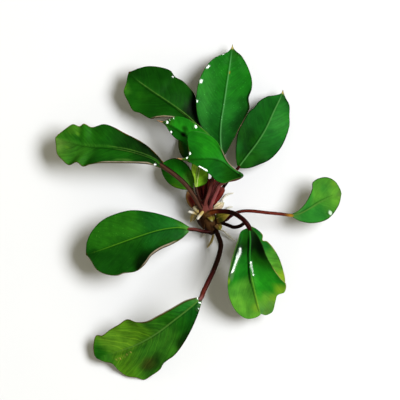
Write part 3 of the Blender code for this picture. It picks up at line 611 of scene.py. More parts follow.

# %% [markdown]
# ## How each leaf grew
#
# No two leaves are alike. Age and light change the green, margins curl up or roll over, and old leaves have
# marks. Some colours also stand for the studio light: painted shade, painted shadows, painted highlights
# and a painted sheen, named where they stand. Each leaf's look is a few words and numbers, and its habits
# are what it doesn't say. Lengths are in squares, and shares run from 0 at the base to 1 at the tip. A place
# across runs from -1 at the left margin over the midrib to 1 at the right.
#
# - left, right: the colours of each half from base to tip, as (share, colour)
# - patches: soft spots, as (colour, share, place across, half length, half width, strength)
# - hems: thin lines along a margin, as (colour, side, from, to, distance from the margin, width, strength)
# - lines: thin lines along the midrib, as (colour, from, to, distance from it, width, strength)
# - curls: short stretches of margin that turn up, as (side, share, half length, height, width)
# - swells: soft swellings or hollows, as (share, place across, half length, half width, height)
# - glints: flat spots turned to the lamp, as (share, place across, radius), or long ones that run between
#   two places, as (share, place across, share, place across, radius)
# - lips: longer stretches that turn up, as (side, from, to, height, width)
# - rolls: margins rolled over upwards, as side: (from, to, radius, turn in degrees)
# - waves: ripples of the blade near a margin, as (side, from, to, height, length, shift)
# - glossy: glossy patches, as (share, place across, half length, half width, strength)
# - gloss_roughness: how rough those are
# - rib, rim, veins, streaks, specks and the words that start with them: what the leaf skin's inputs
#   of the same names are set to; groove is the side of the midrib that gets its painted shadow
# - thickness, keel: half the blade's thickness, and how far the midrib hangs below it

# %% How each leaf grew
LEFT, RIGHT = -1, 1
LEAF_HABITS = {
    "patches": [], "hems": [], "lines": [], "curls": [], "swells": [], "lips": [], "rolls": {}, "waves": [],
    "glossy": [], "glints": [], "gloss_roughness": 0.17, "roughness": 0.45, "under": "olive",
    "rib": "rib", "rib_width": 0.7, "rib_reach": 0.2, "rib_fade": 0.4, "rib_height": 0.3, "groove": LEFT,
    "vein_spacing": 10, "veins": 0.3, "streaks": 0.6, "specks": 0.15,
    "rim_width": 1.1, "rim_strength": 0.4, "rim_shade": 0.7, "thickness": 0.42, "keel": 1.3,
}
LEAF_LOOKS = {
    "far_left": {
        "left": [(0, "sea deep"), (0.15, "shade"), (0.35, "green"), (0.55, "green"), (0.75, "leaf"),
                 (1, "frost")],
        # Painted shade: the ink and night at the base of the right half, the black green patch and hem there
        "right": [(0, "ink"), (0.2, "night"), (0.38, "shade"), (0.55, "green"), (0.7, "grass"),
                  (1, "leaf")],
        "patches": [("black green", 0.16, 0.9, 0.22, 0.5, 0.8), ("deep", 0.5, -0.95, 0.12, 0.4, 0.7),
                    ("frost", 0.93, -0.6, 0.08, 0.5, 0.7), ("pale", 0.82, 0.8, 0.09, 0.4, 0.9),
                    ("apple", 0.79, 0.55, 0.03, 0.15, 0.5), ("frost", 0.3, -0.85, 0.1, 0.18, 0.5),
                    ("deep", 0.8, 0.3, 0.06, 0.2, 0.7), ("leaf", 0.62, 0.05, 0.2, 0.12, 0.6),
                    ("apple", 0.85, -0.35, 0.05, 0.12, 0.5)],
        "hems": [("black maroon", LEFT, 0.07, 0.5, 2.8, 1.3, 1), ("ash", LEFT, 0.08, 0.48, 0.8, 0.9, 0.8),
                 ("black green", RIGHT, 0.03, 0.5, 0.3, 1.2, 0.9)],
        "lines": [("frost", 0.05, 0.5, 1.3, 0.6, 0.5), ("frost", 0, 0.45, -0.6, 0.6, 0.6),
                  ("night", 0, 0.4, 0.35, 0.7, 0.6)],
        "glints": [(0.055, -0.85, 2.0)],
        "rolls": {LEFT: (0.08, 0.5, 1.7, 170)},
        "waves": [(RIGHT, 0.5, 0.95, 0.2, 16, 0), (LEFT, 0.6, 0.98, 0.25, 13, 0.3)],
        "rim": "amber", "rim_strength": 0.3, "rib": "grass", "veins": 0.35, "streaks": 1.0,
    },
    "upper_left": {
        "left": [(0, "sea deep"), (0.2, "deep"), (0.35, "green"), (0.5, "deep"), (0.68, "green"),
                 (0.85, "green"), (0.97, "deep"), (0.99, "brown")],
        # Painted shadow of the top leaf: the ink base of the right half, black green patch and right hem
        "right": [(0, "ink"), (0.22, "ink"), (0.34, "deep"), (0.65, "deep"), (0.8, "deep"),
                  (0.97, "shade"), (0.99, "brown")],
        "patches": [("black green", 0.2, 0.8, 0.14, 0.6, 1), ("leaf", 0.83, -0.85, 0.1, 0.35, 0.9),
                    ("grass", 0.66, -0.4, 0.1, 0.3, 0.6), ("fresh", 0.84, -1, 0.04, 0.2, 0.8)],
        "hems": [("ash", LEFT, 0.24, 0.42, 1.6, 1.3, 0.9), ("maroon", LEFT, 0.22, 0.44, 0.2, 0.9, 0.9),
                 ("black green", RIGHT, 0.1, 0.34, 0.5, 2.5, 1)],
        "glints": [(0.56, 0.92, 2.2)],
        "waves": [(LEFT, 0.2, 0.8, 0.5, 18, 0)],
        "lines": [("frost", 0.04, 0.85, 0.3, 0.45, 0.55), ("frost", 0.02, 0.3, -0.9, 0.5, 0.6)],
        "rim": "olive", "rim_strength": 0.35, "rib": "deep", "rib_reach": 0.05, "veins": 0.25,
        "gloss_roughness": 0.24,
    },
    "top": {
        "left": [(0, "sea"), (0.25, "sea"), (0.4, "sea light"), (0.55, "emerald"), (0.85, "emerald"),
                 (0.93, "sea light"), (0.945, "emerald"), (0.965, "tip")],
        "right": [(0, "sea deep"), (0.2, "sea"), (0.35, "sea light"), (0.6, "emerald"), (0.8, "emerald"),
                  (0.92, "green"), (0.945, "green"), (0.965, "tip")],
        # Painted shade: sea deep patches and black green hem on the upturned right margin; mint: painted
        # sheen
        "patches": [("amber", 0.735, 0.02, 0.02, 0.05, 0.9), ("mint", 0.55, -0.7, 0.22, 0.5, 0.7),
                    ("sea deep", 0.32, 0.85, 0.24, 0.5, 0.85), ("mint", 0.83, -0.3, 0.08, 0.3, 0.5),
                    ("mint", 0.8, 0.75, 0.1, 0.3, 0.5), ("mint", 0.35, -0.75, 0.2, 0.3, 0.5),
                    ("sea deep", 0.93, 0.9, 0.08, 0.4, 0.7)],
        "hems": [("black green", RIGHT, 0.34, 0.58, 1.0, 1.6, 0.8),
                 ("blush", RIGHT, 0.2, 0.34, 0.1, 0.6, 0.4)],
        "curls": [(LEFT, 0.725, 2.3, 0.85, 2.6), (LEFT, 0.6, 2.2, 0.95, 3.3), (LEFT, 0.445, 1.4, 0.5, 1.8),
                  (LEFT, 0.88, 1.6, 0.5, 2.0)],
        "rim": "olive", "rib_reach": 1, "rib_fade": 0.8, "veins": 0.25,
        "groove": LEFT, "specks": 1.0, "rim_width": 0.9,
    },
    "upper_right": {
        "left": [(0, "green"), (0.08, "green"), (0.2, "sea deep"), (0.35, "deep"), (0.5, "sea"),
                 (0.8, "sea"), (0.92, "sea light"), (0.945, "sea light"), (0.965, "tip")],
        "right": [(0, "deep"), (0.2, "green"), (0.35, "sea"), (0.5, "sea light"), (0.65, "mint"),
                  (0.8, "sea light"), (0.92, "sea"), (0.945, "sea"), (0.965, "tip")],
        # Painted shade: sea deep patches, black green and ink hems, ink rim; the mint patch: painted sheen
        "patches": [("sea light", 0.2, -0.8, 0.1, 0.4, 0.6), ("sea deep", 0.35, -0.5, 0.15, 0.25, 0.6),
                    ("sea deep", 0.9, 0.95, 0.12, 0.35, 0.8), ("sea deep", 0.2, 0.95, 0.14, 0.35, 0.8),
                    ("mint", 0.64, 0.4, 0.14, 0.25, 0.6)],
        "hems": [("black green", RIGHT, 0.1, 0.6, 0.3, 1.0, 0.7), ("ink", LEFT, 0.05, 0.9, 0.2, 0.8, 0.6)],
        "waves": [(RIGHT, 0.2, 0.9, 0.4, 16, 0)],
        "rim": "ink", "rim_strength": 0.6, "rib": "milk", "rib_reach": 1, "rib_fade": 0.85, "veins": 0.25,
        "groove": LEFT, "specks": 0.3, "rim_width": 0.9,
    },
    "centre_back": {
        "left": [(0, "emerald"), (0.5, "emerald"), (0.78, "emerald"), (0.88, "leaf"), (0.915, "leaf"),
                 (0.935, "salmon")],
        "right": [(0, "sea light"), (0.12, "bright"), (0.75, "bright"), (0.88, "leaf"), (0.915, "leaf"),
                  (0.935, "salmon")],
        # Painted shadow of the front leaf's edge: black green and shade patches by the hollow; painted
        # shade: the black green hem on the left margin; the milk patch: painted sheen
        "patches": [("black green", 0.62, -0.16, 0.05, 0.3, 1), ("shade", 0.64, 0.3, 0.06, 0.3, 0.8),
                    ("green", 0.86, 0.0, 0.05, 0.6, 0.6), ("milk", 0.06, 0.7, 0.08, 0.3, 0.7)],
        "hems": [("black green", LEFT, 0.42, 0.8, 0.2, 1.1, 0.7),
                 ("frost", RIGHT, 0.1, 0.6, 0.3, 0.9, 0.7)],
        "swells": [(0.62, -0.18, 5, 5, -1.0)],
        "glints": [(0.865, 0.35, 3.0), (0.85, 0.92, 1.9), (0.8, 0.9, 2.0), (0.77, -0.85, 2.6),
                   (0.53, 0.82, 3.6)],
        "rim": "grass", "rim_strength": 0.3, "rib": "bright", "rib_reach": 0.4, "veins": 0.2,
        "rim_shade": 0,
    },
    "centre_front": {
        "left": [(0, "shade"), (0.2, "green"), (0.4, "sea light"), (0.6, "emerald"), (0.8, "green"),
                 (0.88, "olive"), (0.915, "leaf"), (0.935, "salmon")],
        "right": [(0, "deep"), (0.2, "emerald"), (0.35, "bright"), (0.55, "bright"), (0.68, "emerald"),
                  (0.85, "green"), (0.915, "leaf"), (0.935, "salmon")],
        "patches": [("mint", 0.32, 0.4, 0.1, 0.3, 0.6), ("night", 0.93, -0.8, 0.08, 0.5, 0.8),
                    ("deep", 0.12, -0.7, 0.1, 0.5, 0.6)],
        "hems": [("ash", RIGHT, 0.03, 0.3, 0.1, 0.9, 0.7), ("night", LEFT, 0.25, 0.5, 0.1, 0.9, 0.7),
                 ("frost", LEFT, 0.02, 0.25, 0.1, 0.9, 0.8),
                 ("milk", RIGHT, 0.46, 0.6, 0.2, 0.8, 0.6)],
        "glints": [(0.88, 0.55, 2.6), (0.795, 0.37, 2.8), (0.66, -0.91, 0.55, -0.88, 2.3)],
        "rim": "grass", "rim_strength": 0.3, "rib": "mint", "rib_reach": 0.7, "veins": 0.2,
        "gloss_roughness": 0.24, "rim_shade": 0,
    },
    "small_left": {
        # The leaf's own green, painted brighter as painted light to make up for the shade of the stalk above
        "left": [(0, "fresh"), (0.3, "leaf"), (0.6, "grass"), (1, "night")],
        "right": [(0, "sun"), (0.25, "glow"), (0.45, "bright"), (0.7, "bright"), (1, "bright")],
        "patches": [("fresh", 0.3, -0.85, 0.2, 0.3, 0.6), ("emerald", 0.55, 0.9, 0.3, 0.35, 0.6)],
        "hems": [("black green", RIGHT, 0.1, 0.9, 0.2, 0.9, 0.7)],
        "rim": "olive", "rib": "grass", "rib_reach": 0.8,
    },
    "low_back": {
        # Painted shade: the dark wash stands for the shade under the leaves above
        "left": [(0, "shade"), (1, "shade")],
        "right": [(0, "shade"), (1, "shade")],
        "patches": [("olive", 0.6, -0.9, 0.3, 0.4, 0.5)],
        "rim": "olive", "rib": "grass", "rib_reach": 0.8,
    },
    "young": {
        # The young lime green is painted brighter as painted light, against the shadow of the leaf above;
        # spring shade on the right half is that green painted darker as shade
        "left": [(0, "spring"), (1, "spring")],
        "right": [(0, "spring shade"), (1, "spring shade")],
        "patches": [("fresh", 0.25, 0.95, 0.3, 0.4, 0.8)],
        "lines": [("cream", 0, 0.95, -0.9, 0.5, 0.8), ("cream", 0, 0.95, 0.9, 0.5, 0.7),
                  ("apple", 0, 0.95, 0.0, 0.6, 0.8)],
        "rim": "fresh", "rib": "spring",
    },
    "left": {
        "left": [(0, "milk"), (0.07, "sea"), (0.35, "sea"), (0.5, "deep"), (0.8, "deep"), (1, "shade")],
        "right": [(0, "milk"), (0.07, "leaf"), (0.15, "sea light"), (0.35, "sea"), (0.5, "grass"),
                  (0.7, "grass"), (0.85, "grass"), (0.98, "deep"), (0.992, "brown")],
        # Painted shade inside the rolled left margin: the ink, night and deep patches, and the ink rim; the
        # mint patch is a painted sheen
        "patches": [("ink", 0.49, -0.85, 0.1, 0.4, 0.95), ("deep", 0.25, -0.8, 0.12, 0.35, 0.7),
                    ("night", 0.4, -0.85, 0.12, 0.3, 0.7), ("lime", 0.0, 0.1, 0.03, 0.6, 0.8),
                    ("mint", 0.1, 0.4, 0.08, 0.4, 0.4), ("shade", 0.93, 0.1, 0.06, 0.4, 0.5)],
        "hems": [("ash", LEFT, 0.16, 0.47, 0.8, 1.1, 0.8), ("maroon", LEFT, 0.14, 0.5, 2.6, 1.1, 0.9),
                 ("ash", LEFT, 0.62, 0.68, 0.2, 1.0, 0.8)],
        "rolls": {LEFT: (0.12, 0.5, 2.0, 175)},
        "rim": "ink", "rib": "fresh", "rib_reach": 1, "rib_fade": 0.7, "rib_width": 0.42, "specks": 0.8,
    },
    "bottom_left": {
        "left": [(0, "sea light"), (0.12, "sea"), (0.25, "green"), (0.4, "leaf"), (0.6, "leaf"),
                 (0.8, "fresh"), (0.92, "leaf"), (1, "green")],
        "right": [(0, "milk"), (0.12, "mint"), (0.3, "grass"), (0.42, "leaf"), (0.52, "fresh"),
                  (0.8, "apple"), (0.92, "grass"), (1, "green")],
        # Painted shade where the blade folds: the night and ink patches on the left half
        "patches": [("night", 0.3, -0.9, 0.14, 0.35, 0.9), ("ink", 0.58, -0.7, 0.12, 0.35, 0.75),
                    ("olive", 0.62, -0.6, 0.08, 0.3, 0.5), ("fresh", 0.8, -0.4, 0.08, 0.3, 0.6),
                    ("green", 0.93, 0.5, 0.08, 0.6, 0.6), ("green", 0.44, 0.6, 0.05, 0.4, 0.4),
                    ("green", 0.7, -0.12, 0.25, 0.1, 0.5), ("brown", 0.43, 1, 0.06, 0.14, 0.8),
                    *(("tip", 0.845 - 0.0185 * k, -0.38 + 0.036 * k, 0.008, 0.035, 0.8) for k in range(8))],
        "hems": [("ash", RIGHT, 0.0, 0.4, 0.2, 0.8, 0.8), ("maroon", RIGHT, 0.03, 0.42, 1.4, 0.9, 0.7),
                 ("brown", RIGHT, 0.5, 0.98, 0.2, 0.8, 0.6),
                 ("black green", LEFT, 0.04, 0.5, 0.3, 1.2, 0.8),
                 ("brown", LEFT, 0.55, 0.95, 0.2, 0.8, 0.6)],
        "glints": [(0.02, 0.5, 3.6), (0.03, -0.7, 0.06, -0.8, 4.4)],
        "waves": [(LEFT, 0.3, 0.95, 0.7, 18, 0), (RIGHT, 0.4, 0.95, 0.7, 16, 0)],
        "rim": "brown", "rim_strength": 0.5, "rib": "frost", "rib_reach": 1, "rib_fade": 0.6, "veins": 1.1,
        "vein_spacing": 11, "streaks": 0.9, "rim_shade": 0.3,
    },
    "lower_right_front": {
        # Painted shade: ink at the base of the left half and the black green patch there, where that half
        # faces away from the lamp; the black green and ink lines beside the midrib are its painted shadow;
        # along the curled right margin the frost hem is a painted highlight and the ink hem painted shade
        "left": [(0, "shade"), (0.1, "ink"), (0.22, "ink"), (0.34, "green"), (0.48, "bright"),
                 (0.65, "bright"), (0.78, "sun"), (1, "milk")],
        "right": [(0, "sea"), (0.1, "green"), (0.2, "shade"), (0.34, "emerald"), (0.48, "emerald"),
                  (0.58, "glow"), (0.8, "glow"), (0.93, "sun"), (1, "sun")],
        "patches": [("black green", 0.2, -0.75, 0.16, 0.5, 0.8), ("lime", 0.64, -0.9, 0.08, 0.35, 0.7),
                    ("lime", 0.47, 1, 0.05, 0.14, 0.9), ("sea light", 0.1, 0.85, 0.1, 0.3, 0.8),
                    ("lime", 0.78, -0.95, 0.1, 0.5, 0.5), ("deep", 0.3, -0.3, 0.1, 0.25, 0.6),
                    ("frost", 0.93, -0.7, 0.1, 0.4, 0.8), ("bright", 0.72, -0.2, 0.12, 0.25, 0.7),
                    ("lime", 0.88, 0.2, 0.1, 0.3, 0.4), ("milk", 0.82, -0.8, 0.06, 0.3, 0.6),
                    ("sun", 0.74, 0.8, 0.16, 0.4, 0.7)],
        "lines": [("black green", 0.1, 0.62, 1.9, 1.3, 0.9), ("ink", 0.6, 0.95, 1.6, 1.0, 0.4),
                  ("lime", 0.5, 0.97, 0, 0.6, 0.6)],
        "hems": [("frost", RIGHT, 0.1, 0.45, 0.3, 0.8, 0.8), ("ink", RIGHT, 0.1, 0.45, 1.8, 1.2, 0.8),
                 ("ink", LEFT, 0.05, 0.4, 0.2, 1.2, 0.8), ("tip", LEFT, 0.4, 0.64, 0.1, 0.7, 0.6)],
        "lips": [(RIGHT, 0.12, 0.34, 1.2, 10)],
        "swells": [(0.58, 1.0, 38, 13, 3.5), (0.62, 0, 20, 8, 1.5), (0.45, -0.02, 12, 2.4, 0.9)],
        "glossy": [(0.24, 0.62, 0.08, 0.16, 1), (0.29, 0.68, 0.08, 0.15, 1), (0.34, 0.74, 0.08, 0.14, 1),
                   (0.39, 0.79, 0.08, 0.13, 1), (0.44, 0.83, 0.07, 0.12, 1), (0.45, -0.06, 0.09, 0.07, 1)],
        "glints": [(0.215, 0.6, 0.41, 0.8, 2.5), (0.38, -0.03, 0.52, -0.06, 1.9)],
        "rim": "pale", "rim_shade": 0.2, "rib": "mint", "rib_reach": 0.95, "rib_height": 0.7,
        "streaks": 0.35, "gloss_roughness": 0.2,
    },
    "lower_right_back": {
        "left": [(0, "sea light"), (0.35, "sea light"), (0.5, "glow"), (0.66, "sun"), (0.8, "lime"),
                 (1, "sun")],
        # Painted shadow of the front leaf: the black green and ink of the right half and the ink patch
        "right": [(0, "black green"), (0.35, "ink"), (0.5, "mint"), (0.7, "lime"), (1, "lime")],
        "patches": [("ink", 0.25, -0.3, 0.15, 0.35, 0.8), ("lime", 0.8, -0.8, 0.1, 0.3, 0.6)],
        "rim": "tip", "rim_strength": 0.5, "rib": "sun", "rib_reach": 0.8,
    },
    "small_right": {
        "left": [(0, "milk"), (0.3, "mint"), (0.5, "glow"), (0.7, "glow"), (0.85, "sun"), (1, "frost")],
        "right": [(0, "milk"), (0.2, "mint"), (0.5, "mint"), (0.7, "glow"), (0.85, "sun"), (1, "frost")],
        "patches": [("frost", 0.96, 0.1, 0.06, 0.9, 0.6), ("mint", 0.65, -0.5, 0.1, 0.3, 0.5),
                    ("frost", 0.05, -0.4, 0.06, 0.6, 0.5), ("lime", 0.8, -0.8, 0.08, 0.3, 0.3)],
        "hems": [("olive", RIGHT, 0.1, 0.9, 0.1, 0.9, 0.6), ("night", LEFT, 0.3, 0.97, 0.1, 0.9, 0.5)],
        "glints": [(0.63, 0.82, 3.6)],
        "streaks": 0.3, "gloss_roughness": 0.4,
        "rim": "olive", "rib": "frost", "rib_reach": 0.9,
    },
}

print("leaves with a look:", len(LEAF_LOOKS))

# %% [markdown]
# ## Leaf skin
#
# What makes a leaf look alive is in its skin: a pale midrib with a painted shadow beside it on one side,
# side veins that leave it at a slant and bend towards the tip, streaks between them, painted shade along
# the margin with a thin rim on it, faint mottling, pinprick specks, and a duller underside. The pattern has
# to follow the blade, so the mesh carries the distance along the leaf, across it and from its margin at
# every point, and the group reads those. All leaves share it, each with its own values.

# %% Leaf skin
VEIN_SLANT = 0.32
VEIN_BEND = 1.35
VEIN_WOBBLE = 7.0
RIB_SHADOW_PLACE = 1.5
MOTTLE_SIZE = 0.0040
GRAIN_SIZE = 0.0006
SPECK_SIZE = 0.0008
WARM_LIGHT = (1.45, 1.08, 0.75)
VEIN_LIGHT = (1.9, 1.45, 1.6)
PAINTED_SHADE_TINT = (0.35, 0.45, 0.35)
SPECK_LIGHT = (4.0, 2.2, 4.5)
UNDER_VEIN = (0.10, 0.05, 0.03)


def make_leaf_skin():
    """The shader group for the leaves' colour, roughness, gloss and relief."""
    group, have, give = new_group("leaf skin", [
        ("Rib", "Color"), ("Rib Width", "Float"), ("Rib Reach", "Float"), ("Rib Fade", "Float"),
        ("Groove", "Float"), ("Vein Spacing", "Float"), ("Veins", "Float"), ("Streaks", "Float"),
        ("Rim", "Color"), ("Rim Width", "Float"), ("Rim Strength", "Float"), ("Rim Shade", "Float"),
        ("Roughness", "Float"), ("Specks", "Float"), ("Seed", "Float"),
    ], [("Colour", "Color"), ("Roughness", "Float"), ("Coat", "Float"), ("Height", "Float")])
    place = group.nodes.new("ShaderNodeTexCoord").outputs["Object"]
    wash = stored(group, "wash", "Color")
    margin = stored(group, "margin")
    along, across, share = split(group, stored(group, "lay", "Vector"))
    away = abs(across)
    seed = have["Seed"]
    # Side veins: evenly spaced along the midrib, and pushed forward the further out they run
    wobble = (cloud(group, join(group, along, across, seed), 9.0) - 0.5) * VEIN_WOBBLE
    course = along + wobble - away ** VEIN_BEND * VEIN_SLANT
    ridge = abs(reckon(group, "FRACT", course / have["Vein Spacing"]) * 2 - 1)
    vein = rise(group, ridge, 0.80, 0.99) * rise(group, margin, 0.5, 10.0) * have["Veins"]
    # Streaks lie along the side veins
    streak = cloud(group, join(group, course, across * 0.14, seed), 1.5, 3)
    streak = (rise(group, streak, 0.3, 0.7) - 0.5) * have["Streaks"] * 0.5
    # The midrib, and the painted shadow of its ridge on one side of it
    rib = 1 - rise(group, away, have["Rib Width"] * 0.35, have["Rib Width"])
    rib_end = 1 - rise(group, share, have["Rib Reach"] * have["Rib Fade"], have["Rib Reach"])
    groove = 1 - rise(group, abs(across * have["Groove"] - RIB_SHADOW_PLACE), 0.2, 1.0)
    groove = groove * rise(group, 1 - share, 0.02, 0.5)
    # Mottling at two sizes, in metres, with warmer lights
    broad = rise(group, cloud(group, place, MOTTLE_SIZE, 3, seed), 0.28, 0.72)
    fine = cloud(group, place, GRAIN_SIZE, 2, seed)
    lighter = broad * 0.34 + 0.74 + fine * 0.18 + streak
    washed = tinted(group, wash, lighter)
    colour = blend(group, broad * 0.35, washed, tinted(group, washed, WARM_LIGHT))
    colour = blend(group, vein * 0.6, colour, tinted(group, colour, VEIN_LIGHT))
    dark = tinted(group, colour, PAINTED_SHADE_TINT)
    colour = blend(group, groove * 0.7, colour, dark)
    colour = blend(group, rib * rib_end * 0.9, colour, have["Rib"])
    # Painted shade along the rim, and the thin coloured rim on it, broken up by the mottling
    shade = 1 - rise(group, margin, 0.3, 1.2)
    colour = blend(group, shade * have["Rim Shade"], colour, dark)
    rim = 1 - rise(group, margin, have["Rim Width"] * 0.3, have["Rim Width"])
    rim = rim * rise(group, broad, 0.2, 0.8) * have["Rim Strength"]
    colour = blend(group, rim, colour, have["Rim"])
    # Pinprick specks, on a few of the cells of a fine pattern
    dots = group.nodes.new("ShaderNodeTexVoronoi")
    feed(group, dots.inputs["Vector"], place)
    feed(group, dots.inputs["Scale"], 1 / SPECK_SIZE)
    few = rise(group, split(group, dots.outputs["Color"])[0], 0.55, 0.6)
    dot = (1 - rise(group, dots.outputs["Distance"], 0.08, 0.2)) * few * have["Specks"]
    colour = blend(group, dot, colour, tinted(group, colour, SPECK_LIGHT))
    # The underside has its own wash, with darker veins
    below = rise(group, stored(group, "under"), 0.35, 0.75)
    underside = blend(group, vein * 0.4, washed, UNDER_VEIN)
    feed(group, give["Colour"], blend(group, below, colour, underside))
    feed(group, give["Roughness"], have["Roughness"] + fine * 0.08 + below * 0.15)
    feed(group, give["Coat"], stored(group, "gloss"))
    swell = 1 - ridge ** 2
    feed(group, give["Height"], swell * 0.10 - vein * 0.12 + fine * 0.15 + dot * 0.3)
    return group


leaf_skin = make_leaf_skin()
print("leaf skin has", len(leaf_skin.nodes), "nodes")

# %% [markdown]
# ## The columns of a sheet
#
# A blade could be a flat outline with a Solidify modifier, but then its margins would be square cut. Here
# the sheet is a grid of points with a top and an underside that meet in a rounded margin. Its columns are
# closest together where the detail is: at the midrib and at the rim. A margin that rolls over gets more
# columns, which run on from the rim along an arc. Every point knows its spot on the sheet, because the
# skin and the colours follow the blade and not the room.

# %% The columns of a sheet
ROWS = 120
ACROSS = [0, 0.01, 0.025, 0.045, 0.07, 0.1, 0.14, 0.19, 0.25, 0.32, 0.39, 0.46, 0.53, 0.6, 0.66, 0.72, 0.77,
          0.815, 0.855, 0.89, 0.92, 0.942, 0.96, 0.974, 0.985, 0.993, 0.998, 1]
ROLL_COLUMNS = 14


class Spot(NamedTuple):
    """Where a point lies on its sheet: out runs from -1 at the left margin to 1 at the right one."""
    share: float
    along: float
    across: float
    margin: float
    out: float
    gloss: float


def sheet_columns(rolls):
    """The columns of a sheet from left to right, as (side, share of the way out, share of the roll)."""
    columns = []
    for side in (LEFT, RIGHT):
        own = [(side, out, 0.0) for out in ACROSS]
        if side in rolls:
            own += [(side, 1.0, (k + 1) / ROLL_COLUMNS) for k in range(ROLL_COLUMNS)]
        columns += own[::-1] if side == LEFT else own[1:]
    return columns


def nearest_column(columns, place):
    """Which column of a sheet lies nearest to a place across it."""
    return min(range(len(columns)), key=lambda k: abs(columns[k][0] * columns[k][1] - place))


def side_of(out):
    """The half of the sheet that a place across it belongs to."""
    return RIGHT if out > 0 else LEFT


print("columns of a plain sheet:", len(sheet_columns({})))

# %% [markdown]
# ## The relief of a sheet
#
# A flat blade looks like paper. Curls, swellings, lips and ripples lift its points, each as a soft bell or
# wave, and a glossy patch is noted where the look asks for one. A fine noise keeps all of it from being
# quite even.

# %% The relief of a sheet
GLOSS_REACH = 1.6
FINE_NOISE = 0.09
BROAD_NOISE = 4 * FINE_NOISE
FINE_NOISE_SIZE = 3.5
BROAD_NOISE_SIZE = 14
NARROW = 8


def bell(far):
    """1 at 0, and down to 0 at 1 with a round top and a soft foot."""
    return (1 - far * far) ** 2 if far < 1 else 0.0


def relief(look, spot, half, length):
    """How far a look lifts a point of its sheet, and how glossy it is there."""
    share, along, across, margin, out, gloss = spot
    side = side_of(out)
    lift = look["rib_height"] * math.exp(-across ** 2) * (1 - soft_step(share, 0.75, 1))
    for curl_side, where, reach, height, width in look["curls"]:
        if curl_side == side and margin < width * 1.3:
            beat = bell(abs(along - where * length) / reach)
            lift += height * max(0, 1 - margin / width) ** 2 * beat
            inside = 1 - soft_step(margin, width * 0.8, width * 1.3)
            gloss = max(gloss, min(1, GLOSS_REACH * beat) * inside)
    for where, place, reach, width, height in look["swells"]:
        lift += height * bell(math.hypot((along - where * length) / reach, (across - place * half) / width))
    for lip_side, start, end, height, width in look["lips"]:
        if lip_side == side and margin < width:
            lift += height * (1 - margin / width) ** 2 * window(share, start, end, 0.1)
    for wave_side, start, end, height, wave, offset in look["waves"]:
        if wave_side == side:
            ripple = math.sin(2 * math.pi * (along / wave + offset))
            lift += height * abs(out) ** 3 * window(share, start, end, 0.15) * ripple
    for where, place, reach, width, strength in look["glossy"]:
        far = math.hypot((share - where) / reach, (out - place) / width)
        gloss = max(gloss, strength * min(1, GLOSS_REACH * bell(far)))
    return lift, gloss


def unevenness(place, share, half):
    """A soft noise, fading towards the tip and where the blade is narrow, and a finer one everywhere."""
    fade = min(1, half / NARROW) * math.sin(math.pi * min(1, share + 0.03))
    broad = BROAD_NOISE * noise.noise(place / BROAD_NOISE_SIZE)
    return broad * fade + FINE_NOISE * noise.noise(place / FINE_NOISE_SIZE)


print("a bell halfway down:", bell(0.5))

# %% [markdown]
# ## Growing a sheet
#
# Each point starts on a straight line from midrib to margin, sags by the dish of its leaf, and is lifted by
# the relief. On a rolled margin it then goes round an arc. Last come the glints: short stretches that are
# turned to face halfway to the lamp, so that the softbox shows in them.

# %% Growing a sheet
LEAST_ROLL = 0.25


def lay_point(look, dish, centre, edge, column, share, along, length, shift):
    """One point of a sheet, and its spot."""
    side, out, turn = column
    half = (edge - centre).length
    outward = (edge - centre).normalized()
    roll = arc = 0.0
    if side in look["rolls"]:
        start, end, radius, degrees = look["rolls"][side]
        roll = min(LEAST_ROLL + radius * window(share, start, end, 0.1), half * 0.4)
        arc = math.radians(degrees)
    point = centre.lerp(edge - outward * roll, out)
    point.z -= dish * 4 * out * (1 - out) * 4 * share * (1 - share)
    across = side * (out * half + roll * arc * turn)
    margin = (1 - out) * half + roll * arc * (1 - turn)
    spot = Spot(share, along, across, margin, side * out, 0.0)
    lift, gloss = relief(look, spot, half, length)
    point.z += lift + unevenness(Vector((point.x, point.y, 0)) + shift, share, half)
    if turn:
        up = (Vector((0, 0, 1)) - outward * outward.z).normalized()
        point += outward * roll * math.sin(arc * turn) + up * roll * (1 - math.cos(arc * turn))
    return point, spot._replace(gloss=gloss)


def turn_glints(points, spots, columns, glints):
    """Turns short stretches of a sheet halfway to the lamp, and makes them glossy."""
    rows = len(points) - 1
    for *ends, reach in glints:
        first, last = (points[round(where * rows)][nearest_column(columns, place)].copy()
                       for where, place in (ends[:2], ends[-2:]))
        run = last - first
        for row, row_spots in zip(points, spots):
            for k, point in enumerate(row):
                part = (point.xy - first.xy).dot(run.xy) / max(run.xy.length_squared, 1e-6)
                centre = first + run * min(max(part, 0), 1)
                gap = point.xy - centre.xy
                far = gap.length / reach
                if far < 1:
                    level = centre.z + GLINT_SLOPE.dot(gap)
                    point.z += (level - point.z) * (1 - soft_step(far, 0.45, 1))
                    gloss = max(row_spots[k].gloss, 1 - soft_step(far, 0.5, 0.9))
                    row_spots[k] = row_spots[k]._replace(gloss=gloss)


def sheet(name, lines, look, rows=ROWS):
    """A closed leaf-like sheet between its left, middle and right lines, with rounded margins."""
    tip = Vector(lines["middle"][-1])
    middle = smooth_path(lines["middle"])
    edges = {LEFT: smooth_path([*lines["left"], tip]), RIGHT: smooth_path([*lines["right"], tip])}
    columns = sheet_columns(look["rolls"])
    random.seed(name)
    shift = Vector([random.uniform(0, 50) for _ in range(3)])
    centres = [middle(i / rows) for i in range(rows + 1)]
    length = sum((b - a).length for a, b in zip(centres, centres[1:]))
    points, spots = [], []
    along = 0.0
    for i, centre in enumerate(centres):
        share = i / rows
        along += (centre - centres[max(i - 1, 0)]).length
        row = [lay_point(look, lines.get("dish", 0), centre, edges[column[0]](share), column, share, along,
                         length, shift) for column in columns]
        points.append([point for point, spot in row])
        spots.append([spot for point, spot in row])
    turn_glints(points, spots, columns, look["glints"])
    return close_sheet(name, points, spots, look, length, shift)


